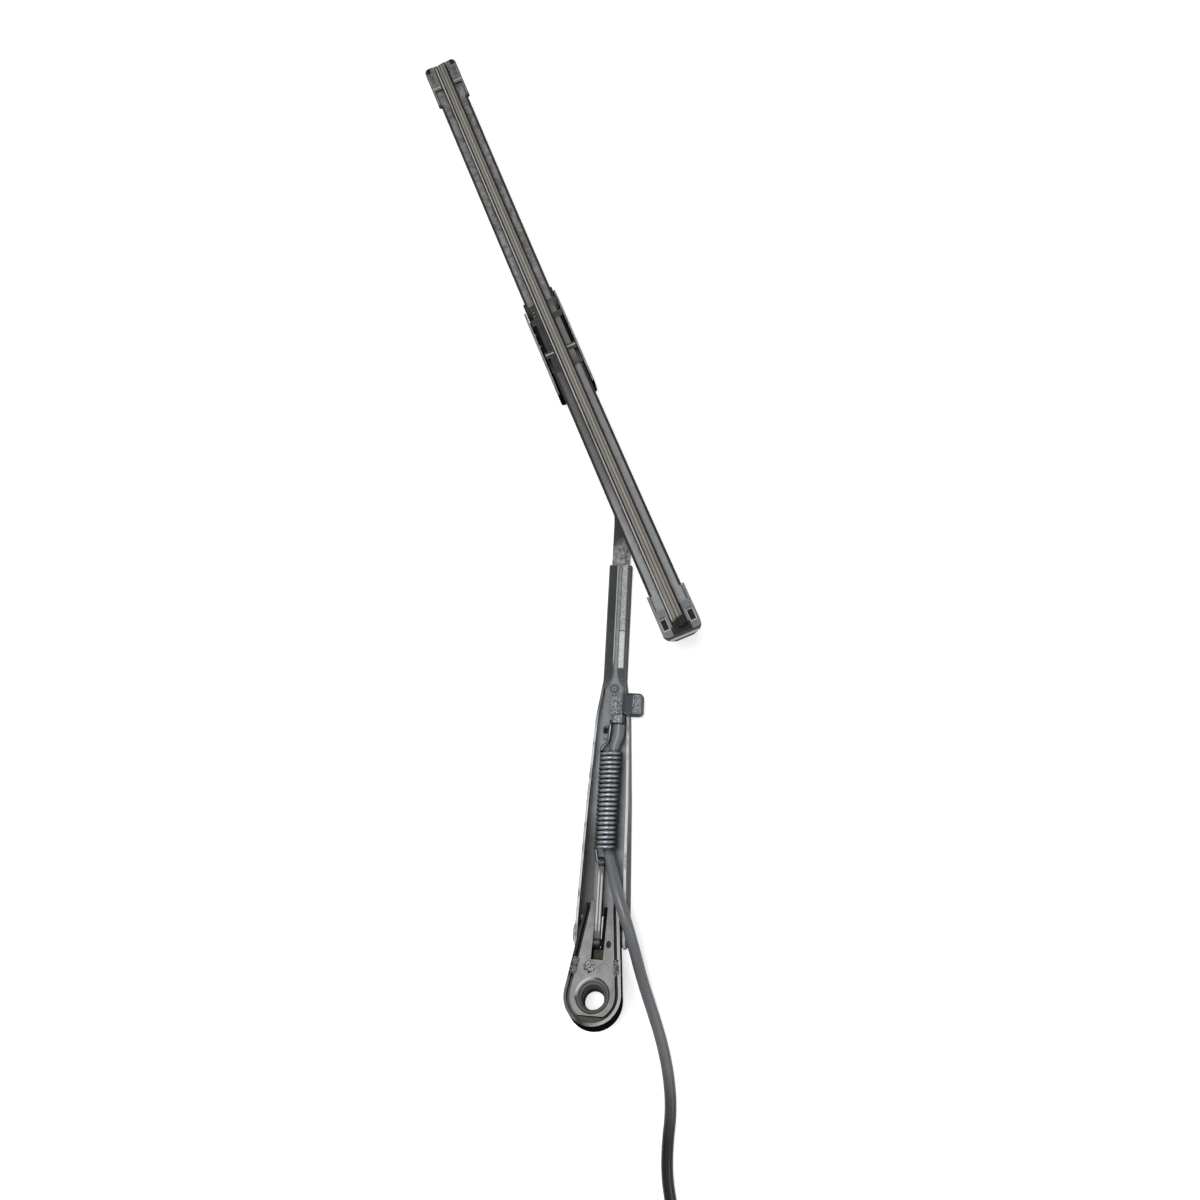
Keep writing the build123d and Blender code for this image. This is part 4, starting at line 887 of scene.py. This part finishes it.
def nozzle_finish():
    """Dark plastic with caked dirt on the nozzle's body."""
    m = Finish("nozzle plastic", 0.6, shine=0.25)
    x, y, z = m.parts(m.place)
    blotch, speck = m.dust(820.0, 1500.0)
    grime_and_shade = m.grime_and_shade(0.0015, 600.0)
    crumb = colours().crumb
    caked = m.mix(blotch, shade(crumb, 0.03), shade(crumb, 2.4))
    caked = m.mix(m.fit(speck, 0.62, 0.85), caked, PALE_GRIT)
    body = m.times(m.fit(x, 0.0068, 0.0062), m.fit(y, 0.1428, 0.1434))
    filled = m.times(m.fit(x, 0.0119, 0.0121), m.fit(z, BACK + 0.01, BACK + 0.0102))
    filled = m.times(filled, m.fit(x, 0.0168, 0.0166))
    filled = m.times(filled, m.between(y, 0.1484, 0.1486, 0.1593, 0.1591))
    body = m.maths("MAXIMUM", body, filled)
    plain = m.mix(m.times(blotch, 0.5), colours().nozzle, (0.085, 0.098, 0.112))
    rim = m.fit(x, 0.016, 0.0164)
    ring = m.fit(y, 0.1431, 0.1428)
    plain = m.mix(rim, plain, (0.105, 0.115, 0.108))
    m.tone = m.mix(body, plain, caked)
    m.over(ring, (0.006, 0.007, 0.008))
    # painted shade with dirt in the hollows, from ambient occlusion
    m.over(grime_and_shade, (0.008, 0.009, 0.011))
    m.grain(1500.0, 700.0, 0.0003, 0.6)
    return m.done()


def crumb_finish():
    """Caked dirt with pale specks, olive in the arm's slot and near black further in as painted shade, with
    painted shade in its hollows.
    """
    m = Finish("caked dirt", 0.8, shine=0.0)
    blotch, speck = m.dust(500.0, 1500.0)
    grime_and_shade = m.grime_and_shade(0.0015, 600.0)
    crumb = colours().crumb
    m.tone = m.mix(blotch, shade(crumb, 0.3), crumb)
    m.over(m.fit(speck, 0.55, 0.9), (0.36, 0.36, 0.35))
    in_slot = m.fit(m.maths("ABSOLUTE", m.parts(m.place)["X"]), 0.006, 0.0055)
    olive = m.mix(blotch, (0.06, 0.054, 0.038), (0.105, 0.096, 0.068))
    # painted shade: near black further into the slot
    olive = m.mix(m.fit(m.dot(m.place, TONGUE), 0.0238, 0.0246), olive, 0.014)
    m.over(in_slot, olive)
    # painted shade in the hollows, from ambient occlusion
    m.over(grime_and_shade, (0.012, 0.012, 0.011))
    m.grain(1500.0, 700.0, 0.0004, 0.7)
    return m.done()


def grain_finish():
    """Pale grit."""
    m = Finish("pale grit", 0.45)
    pale = m.fit(m.noise(m.place, 1900.0, 2.0, 0.6), 0.38, 0.62)
    m.tone = m.mix(pale, (0.06, 0.068, 0.075), PALE_GRIT)
    return m.done()


def dark_finish():
    """Packed dirt, nearly black."""
    m = Finish("packed dirt", 0.8, shine=0.05)
    blotch = m.dust(300.0, 1500.0)["Blotch"]
    m.tone = m.mix(blotch, 0.006, (0.03, 0.029, 0.027))
    return m.done()


class WIPER_OT_stage(bpy.types.Operator):
    """Lay the floor, hang the lamps and set the camera where the photograph was taken"""

    bl_idname = "wiper.stage"
    bl_label = "Stage"

    def execute(self, context):
        look = context.scene.wiper_stage
        bpy.ops.mesh.primitive_plane_add(size=FLOOR_SIZE, location=FLOOR_MIDDLE)
        floor = context.object
        floor.name = "floor"
        m = Finish("pale floor", 0.9)
        m.tone = tint(look.floor)
        m.feed(m.shader["Emission Color"], WHITE)
        away = m.put("ShaderNodeVectorMath", {0: m.place}, operation="LENGTH").outputs["Value"]
        glow = m.fit(away, 0.6, 2.4, 0.50, 0.85)
        m.feed(m.shader["Emission Strength"], m.times(m.seen(), glow))
        floor.data.materials.append(m.done())
        # the floor gives way where the toe swings below it
        for name, place in (("low edge", TOE_LOW), ("far end", TOE_FAR)):
            bpy.ops.object.empty_add(location=place)
            mark = context.object
            mark.name = name
            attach(mark, "blade")
            under = floor.constraints.new("FLOOR")
            under.target = mark
            under.floor_location = "FLOOR_NEGATIVE_Z"
            under.offset = -FLOOR_GAP

        for name, place, target, size, share in LAMPS:
            bpy.ops.object.light_add(type="AREA", location=place)
            lamp = context.object
            lamp.name = name
            lamp.data.energy = look.lamp_power * share
            lamp.data.size = size
            lamp.rotation_euler = (Vector(target) - Vector(place)).to_track_quat("-Z", "Y").to_euler()

        world = context.scene.world or bpy.data.worlds.new("studio")
        context.scene.world = world
        world.use_nodes = True
        sky = Nodes(world.node_tree)
        background = world.node_tree.nodes["Background"].inputs
        background["Color"].default_value = WHITE
        sky.feed(background["Strength"], sky.fit(sky.seen(), 0.0, 1.0, look.sky, 1.0))
        context.scene.view_settings.view_transform = "Standard"

        bpy.ops.object.camera_add(location=CAMERA_PLACE)
        camera = context.object
        camera.name = "photograph"
        ahead = (CAMERA_AIM - camera.location).normalized()
        right = ahead.cross(CAMERA_TOP).normalized()
        turned = Matrix((right, right.cross(ahead), -ahead)).transposed()
        camera.rotation_euler = turned.to_euler()
        camera.data.sensor_width = CAMERA_SENSOR
        camera.data.lens = CAMERA_LENS
        camera.data.clip_start = 0.01
        context.scene.camera = camera
        return {"FINISHED"}


def line_through(context, name, points, radius, sides, steps):
    """A round line through points that are X, Y and the height above the channel's back."""
    line = bpy.data.curves.new(name, "CURVE")
    line.dimensions = "3D"
    line.bevel_depth = radius
    line.bevel_resolution = sides
    line.resolution_u = steps
    line.use_fill_caps = True
    spline = line.splines.new("NURBS")
    spline.points.add(len(points) - 1)
    for point, (x, y, height) in zip(spline.points, points):
        point.co = (x, y, BACK + height, 1.0)
    spline.order_u = 3
    spline.use_endpoint_u = True
    thing = bpy.data.objects.new(name, line)
    context.scene.collection.objects.link(thing)
    return thing


class WIPER_OT_hose(bpy.types.Operator):
    """Run the washer hose from the nozzle through the spring and over the wall to the floor"""

    bl_idname = "wiper.hose"
    bl_label = "Washer Hose"

    def execute(self, context):
        hose = line_through(context, "hose", HOSE_ROUTE, sizes().hose_radius, sides=6, steps=12)
        hose.data.materials.append(hose_finish())
        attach(hose, "arm")
        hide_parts("washer_hose")
        return {"FINISHED"}


def alone(context, thing):
    """Make a piece the only selected and active one."""
    bpy.ops.object.select_all(action="DESELECT")
    thing.select_set(True)
    context.view_layer.objects.active = thing


def edited(context, thing):
    """Open a piece in edit mode with all of it selected."""
    alone(context, thing)
    bpy.ops.object.mode_set(mode="EDIT")
    bpy.ops.mesh.select_all(action="SELECT")


def smoothed(angle):
    """Leave edit mode, and smooth the faces that meet at less than an angle in degrees."""
    bpy.ops.object.mode_set(mode="OBJECT")
    bpy.ops.object.shade_smooth_by_angle(angle=math.radians(angle))


def joined(context, things, name):
    """Join pieces into the first of them."""
    alone(context, things[0])
    for thing in things[1:]:
        thing.select_set(True)
    bpy.ops.object.join()
    things[0].name = name
    return things[0]


def axes(x, y, z):
    """A matrix that turns to these axes."""
    return Matrix((x, y, z)).transposed().to_4x4()


def block(context, low, high):
    """A box between two corners, in metres, with the height above the channel's back."""
    low, high = Vector(low), Vector(high)
    bpy.ops.mesh.primitive_cube_add(size=1.0, location=(low + high) / 2 + Vector((0.0, 0.0, BACK)))
    thing = context.object
    thing.scale = high - low
    bpy.ops.object.transform_apply()
    return thing


def crumbled(context, thing, cuts, clump, depth):
    """Roughen a box like caked dirt."""
    edited(context, thing)
    bpy.ops.mesh.bevel(offset=depth, segments=2)
    bpy.ops.mesh.select_all(action="SELECT")
    bpy.ops.mesh.subdivide(number_cuts=cuts)
    bpy.ops.object.mode_set(mode="OBJECT")
    texture = bpy.data.textures.new("crumbs", "CLOUDS")
    texture.noise_scale = clump
    texture.noise_depth = 2
    rough = thing.modifiers.new("crumbs", "DISPLACE")
    rough.texture = texture
    rough.strength = depth
    bpy.ops.object.modifier_apply(modifier="crumbs")
    bpy.data.textures.remove(texture)
    smoothed(50.0)
    return thing


def laid(context, low, high, place, shift=0.0, crumbs=None):
    """A box in its own axes, moved sideways by shift, crumbled if asked, and laid by a matrix."""
    thing = block(context, low, high)
    thing.data.transform(Matrix.Translation((shift, 0.0, -BACK)))
    if crumbs:
        crumbled(context, thing, *crumbs)
    thing.matrix_world = place
    alone(context, thing)
    bpy.ops.object.transform_apply()
    return thing


def wire_run(context, points, radius):
    """A bent wire through these points, as a mesh."""
    alone(context, line_through(context, "wire", points, radius, sides=4, steps=8))
    bpy.ops.object.convert(target="MESH")
    return context.object


def grit(context, name, places, material):
    """Small lumps at these places: X, Y, Z, size and turn."""
    bpy.ops.mesh.primitive_ico_sphere_add(subdivisions=1, radius=1.0)
    first = context.object
    things = []
    for x, y, z, size, turn in places:
        alone(context, first)
        bpy.ops.object.duplicate()
        thing = context.object
        thing.location = (x, y, z)
        thing.scale = (size, size * 0.75, size * 0.6)
        thing.rotation_euler = (turn, turn * 2.0, turn * 3.0)
        bpy.ops.object.transform_apply()
        things.append(thing)
    bpy.data.objects.remove(first)
    piece = joined(context, things, name)
    coated(piece, material)
    return piece


class WIPER_OT_spring(bpy.types.Operator):
    """Wind the tension spring and bend its two tails"""

    bl_idname = "wiper.spring"
    bl_label = "Tension Spring"

    def execute(self, context):
        size = sizes()
        bpy.ops.mesh.primitive_circle_add(
            vertices=12,
            radius=size.wire_radius,
            location=(-size.coil_radius, 0.0, 0.0),
            rotation=(math.pi / 2, 0.0, 0.0),
        )
        coil = context.object
        bpy.ops.object.transform_apply()
        wound = coil.modifiers.new("wind", "SCREW")
        wound.axis = "Z"
        wound.angle = 2 * math.pi
        wound.screw_offset = size.coil_pitch
        wound.iterations = size.coil_turns
        wound.steps = 24
        wound.render_steps = 24
        bpy.ops.object.modifier_apply(modifier="wind")
        coil.rotation_euler = axes(SIDE, SPRING_WAY.cross(SIDE), SPRING_WAY).to_euler()
        coil.location = SPRING_LOW
        bpy.ops.object.transform_apply()
        left = SPRING_LOW.x - size.coil_radius
        wires = [coil]
        for tail in (LOWER_TAIL, UPPER_TAIL):
            points = [(left + x, y, height) for x, y, height in tail]
            wires.append(wire_run(context, points, size.wire_radius))
        spring = joined(context, wires, "spring")
        edited(context, spring)
        bpy.ops.mesh.normals_make_consistent(inside=False)
        smoothed(60.0)
        coated(spring, spring_finish())
        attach(spring, "arm")
        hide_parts("tension_spring")
        return {"FINISHED"}


class WIPER_OT_nozzle(bpy.types.Operator):
    """Model the washer nozzle: a caked body, a collar for the hose and a lug with a filled pocket"""

    bl_idname = "wiper.nozzle"
    bl_label = "Washer Nozzle"

    def execute(self, context):
        body = crumbled(context, block(context, *NOZZLE_BODY), cuts=14, clump=0.0010, depth=0.0020)
        mantle = crumbled(context, block(context, *NOZZLE_MANTLE), cuts=8, clump=0.0011, depth=0.0010)
        lug = block(context, *NOZZLE_LUG)
        corners = lug.data.vertices
        for edge in lug.data.edges:
            ends = [corners[index].co for index in edge.vertices]
            edge.select = all(end.x > 0.017 for end in ends) and abs(ends[0].z - ends[1].z) > 0.001
        bpy.ops.object.mode_set(mode="EDIT")
        bpy.ops.mesh.select_mode(type="EDGE")
        bpy.ops.mesh.bevel(offset=0.0026, segments=5)
        bpy.ops.mesh.select_all(action="SELECT")
        bpy.ops.mesh.bisect(plane_co=(LUG_POCKET_X, 0.15, BACK), plane_no=SIDE)
        bpy.ops.mesh.select_all(action="DESELECT")
        bpy.ops.mesh.select_mode(type="FACE")
        bpy.ops.object.mode_set(mode="OBJECT")
        for face in lug.data.polygons:
            face.select = face.normal.z > 0.9 and face.center.x > LUG_POCKET_X
        bpy.ops.object.mode_set(mode="EDIT")
        bpy.ops.mesh.inset(thickness=0.0013, depth=0.0)
        bpy.ops.mesh.extrude_region_move(TRANSFORM_OT_translate={"value": (0.0, 0.0, -0.0016)})
        bpy.ops.object.mode_set(mode="OBJECT")
        rounded = lug.modifiers.new("rounded", "BEVEL")
        rounded.width = 0.0007
        rounded.segments = 3
        rounded.limit_method = "ANGLE"
        rounded.angle_limit = math.radians(40.0)
        alone(context, lug)
        bpy.ops.object.modifier_apply(modifier="rounded")
        smoothed(35.0)
        collars = []
        for start, run, radius in COLLARS:
            bpy.ops.mesh.primitive_cylinder_add(
                vertices=32,
                radius=radius,
                depth=run,
                location=(HOSE_ROUTE[0][0], start + run / 2, BACK + HOSE_ROUTE[0][2]),
                rotation=(math.pi / 2, 0.0, 0.0),
            )
            bpy.ops.object.transform_apply()
            smoothed(35.0)
            collars.append(context.object)
        filling = crumbled(context, block(context, *LUG_FILLING), cuts=12, clump=0.0010, depth=0.0010)
        nozzle = joined(context, [body, mantle, lug, filling] + collars, "nozzle")
        coated(nozzle, nozzle_finish())
        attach(nozzle, "arm")
        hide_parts("spray_nozzle")

        chance = random.Random(7)
        places = []
        for count, x, y, height in NOZZLE_GRIT:
            for _ in range(count):
                size = chance.uniform(*GRIT_SIZE)
                place = (chance.uniform(*x), chance.uniform(*y), BACK + height)
                places.append((*place, size, chance.uniform(0.0, 6.0)))
        piece = grit(context, "nozzle_grit", places, grain_finish())
        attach(piece, "arm")
        return {"FINISHED"}


class WIPER_OT_hose_end(bpy.types.Operator):
    """Swell the hose's end where it is pushed on to the nozzle"""

    bl_idname = "wiper.hose_end"
    bl_label = "Hose End"

    def execute(self, context):
        end = wire_run(context, HOSE_END_ROUTE, sizes().hose_radius * 1.14)
        end.name = "hose_end"
        smoothed(50.0)
        coated(end, bpy.data.materials["hose rubber"])
        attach(end, "arm")
        return {"FINISHED"}


class WIPER_OT_rubber(bpy.types.Operator):
    """Cut the rubber's lip off at a slant at the toe, and close the notches beside it"""

    bl_idname = "wiper.rubber"
    bl_label = "Rubber"

    def execute(self, context):
        alone(context, bpy.data.objects["rubber_element"])
        bpy.ops.object.duplicate()
        rubber = context.object
        bpy.ops.object.parent_clear(type="CLEAR_KEEP_TRANSFORM")
        bpy.ops.object.transform_apply()
        edited(context, rubber)
        bpy.ops.mesh.remove_doubles(threshold=0.000001)
        slant = math.radians(RUBBER_SLANT)
        bpy.ops.mesh.bisect(
            plane_co=BLADE_MIDDLE + TO_TOE * sizes().rubber_end + UP * RUBBER_HEIGHT,
            plane_no=TO_TOE * math.cos(slant) + UP * math.sin(slant),
            use_fill=True,
            clear_outer=True,
        )
        smoothed(30.0)
        rubber.name = "rubber"
        coated(rubber, lip_finish())
        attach(rubber, "blade")
        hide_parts("rubber_element")

        place = Matrix.Translation(BLADE_MIDDLE) @ axes(ACROSS, TO_TOE, UP)
        fills = []
        for low, high in TOE_FILLS:
            fills.append(laid(context, low, high, place))
            edited(context, fills[-1])
            bpy.ops.mesh.bevel(offset=0.0008, segments=2)
            bpy.ops.object.mode_set(mode="OBJECT")
        fill = joined(context, fills, "toe_fill")
        smoothed(35.0)
        coated(fill, cap_finish())
        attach(fill, "blade")
        return {"FINISHED"}


class WIPER_OT_dirt(bpy.types.Operator):
    """Cake dirt in the head and beside the connector, and set grit on the connector's plates"""

    bl_idname = "wiper.dirt"
    bl_label = "Caked Dirt"

    def execute(self, context):
        in_head = axes(SIDE, TONGUE, BORE)
        lumps = []
        # in the grooves at both sides of the head
        for lateral, turn in GROOVES:
            place = Matrix.Translation(SIDE * lateral) @ Matrix.Translation(GROOVE_MIDDLE)
            place = place @ in_head @ Matrix.Rotation(math.radians(-turn), 4, "Z")
            lumps.append(laid(context, *GROOVE_LUMP, place, crumbs=GROOVE_CRUMBS))
        # behind the link, and along the slot's right side
        for low, high, (along, up), tilt in SLOT_LUMPS:
            place = Matrix.Translation(TONGUE * along + BORE * up)
            place = place @ in_head @ Matrix.Rotation(math.radians(tilt), 4, "X")
            lumps.append(laid(context, low, high, place, ARM_X, SLOT_CRUMBS))
        dirt = joined(context, lumps, "head_dirt")
        coated(dirt, crumb_finish())
        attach(dirt, "head")

        chance = random.Random(3)
        places = []
        for across, along, size in CONNECTOR_GRIT:
            spot = BLADE_MIDDLE + ACROSS * across + TO_TOE * along
            places.append((spot.x, spot.y, spot.z + GRIT_HEIGHT, size, chance.uniform(0.0, 6.0)))
        piece = grit(context, "connector_grit", places, bpy.data.materials["pale grit"])
        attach(piece, "blade")

        # packed dirt beside the connector's plates
        place = Matrix.Translation(BLADE_MIDDLE) @ axes(ACROSS, TO_TOE, UP)
        pads = [laid(context, low, high, place, crumbs=PAD_CRUMBS) for low, high in CONNECTOR_PADS]
        pad = joined(context, pads, "blade_dirt")
        coated(pad, dark_finish())
        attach(pad, "blade")
        return {"FINISHED"}


class WIPER_OT_finishes(bpy.types.Operator):
    """Give every solid of the frame its finish"""

    bl_idname = "wiper.finishes"
    bl_label = "Finishes"

    def execute(self, context):
        made = bpy.data.materials
        spoiler = plastic_finish("spoiler rubber", colours().spoiler, (0.09, 0.088, 0.085), 0.7)
        nylon = plastic_finish("moulded nylon", (0.05, 0.055, 0.06), (0.20, 0.21, 0.22), 0.6)
        for material, nodes in (
            (cast_finish(), ["head_casting"]),
            (channel_finish(), ["channel"]),
            (rod_finish(), ["wiper_rod", "hinge_rivet_left", "hinge_rivet_right"]),
            (rivet_finish(), ["rod_rivet"]),
            (bright_finish(), ["connector_pin"]),
            (link_finish(), ["spring_link"]),
            (rail_finish(), ["rail_left", "rail_right"]),
            (plate_finish(), ["connector_base"]),
            (cover_finish(), ["connector_cover", "hook_adapter"]),
            (spoiler, ["spoiler_heel", "spoiler_toe"]),
            (nylon, ["nozzle_jets", "hose_joiner", "hinge_bush_left", "hinge_bush_right"]),
            (made["packed dirt"], ["spring_pin"]),
            (made["coated wire"], ["tension_spring"]),
            (made["wiper rubber"], ["rubber_element"]),
            (made["cap plastic"], ["end_cap_heel", "end_cap_toe"]),
            (made["nozzle plastic"], ["spray_nozzle"]),
            (made["hose rubber"], ["washer_hose"]),
        ):
            for node in nodes:
                coated(frame["nodes"][node], material)
        return {"FINISHED"}


class WIPER_PT_pieces(bpy.types.Panel):
    """Lists the steps that dress the wiper arm"""

    bl_idname = "WIPER_PT_pieces"
    bl_label = "Wiper Arm"
    bl_space_type = "VIEW_3D"
    bl_region_type = "UI"
    bl_category = "Wiper Arm"

    def draw(self, context):
        for operator in OPERATORS:
            self.layout.operator(operator.bl_idname)
        for settings in (sizes(), colours(), context.scene.wiper_stage):
            for name in settings.bl_rna.properties.keys():
                if name not in ("rna_type", "name"):
                    self.layout.prop(settings, name)


OPERATORS = (
    WIPER_OT_stage,
    WIPER_OT_hose,
    WIPER_OT_hose_end,
    WIPER_OT_spring,
    WIPER_OT_nozzle,
    WIPER_OT_rubber,
    WIPER_OT_dirt,
    WIPER_OT_finishes,
)
CLASSES = (WiperSizes, WiperColours, WiperStage) + OPERATORS + (WIPER_PT_pieces,)


def register():
    for cls in CLASSES:
        bpy.utils.register_class(cls)
    bpy.types.Scene.wiper_sizes = bpy.props.PointerProperty(type=WiperSizes)
    bpy.types.Scene.wiper_colours = bpy.props.PointerProperty(type=WiperColours)
    bpy.types.Scene.wiper_stage = bpy.props.PointerProperty(type=WiperStage)


def unregister():
    del bpy.types.Scene.wiper_stage
    del bpy.types.Scene.wiper_colours
    del bpy.types.Scene.wiper_sizes
    for cls in reversed(CLASSES):
        bpy.utils.unregister_class(cls)


def main():
    register()
    bpy.ops.wiper.stage()
    bpy.ops.wiper.hose()
    bpy.ops.wiper.hose_end()
    bpy.ops.wiper.spring()
    bpy.ops.wiper.nozzle()
    bpy.ops.wiper.rubber()
    bpy.ops.wiper.dirt()
    bpy.ops.wiper.finishes()


if __name__ == "__main__":
    main()
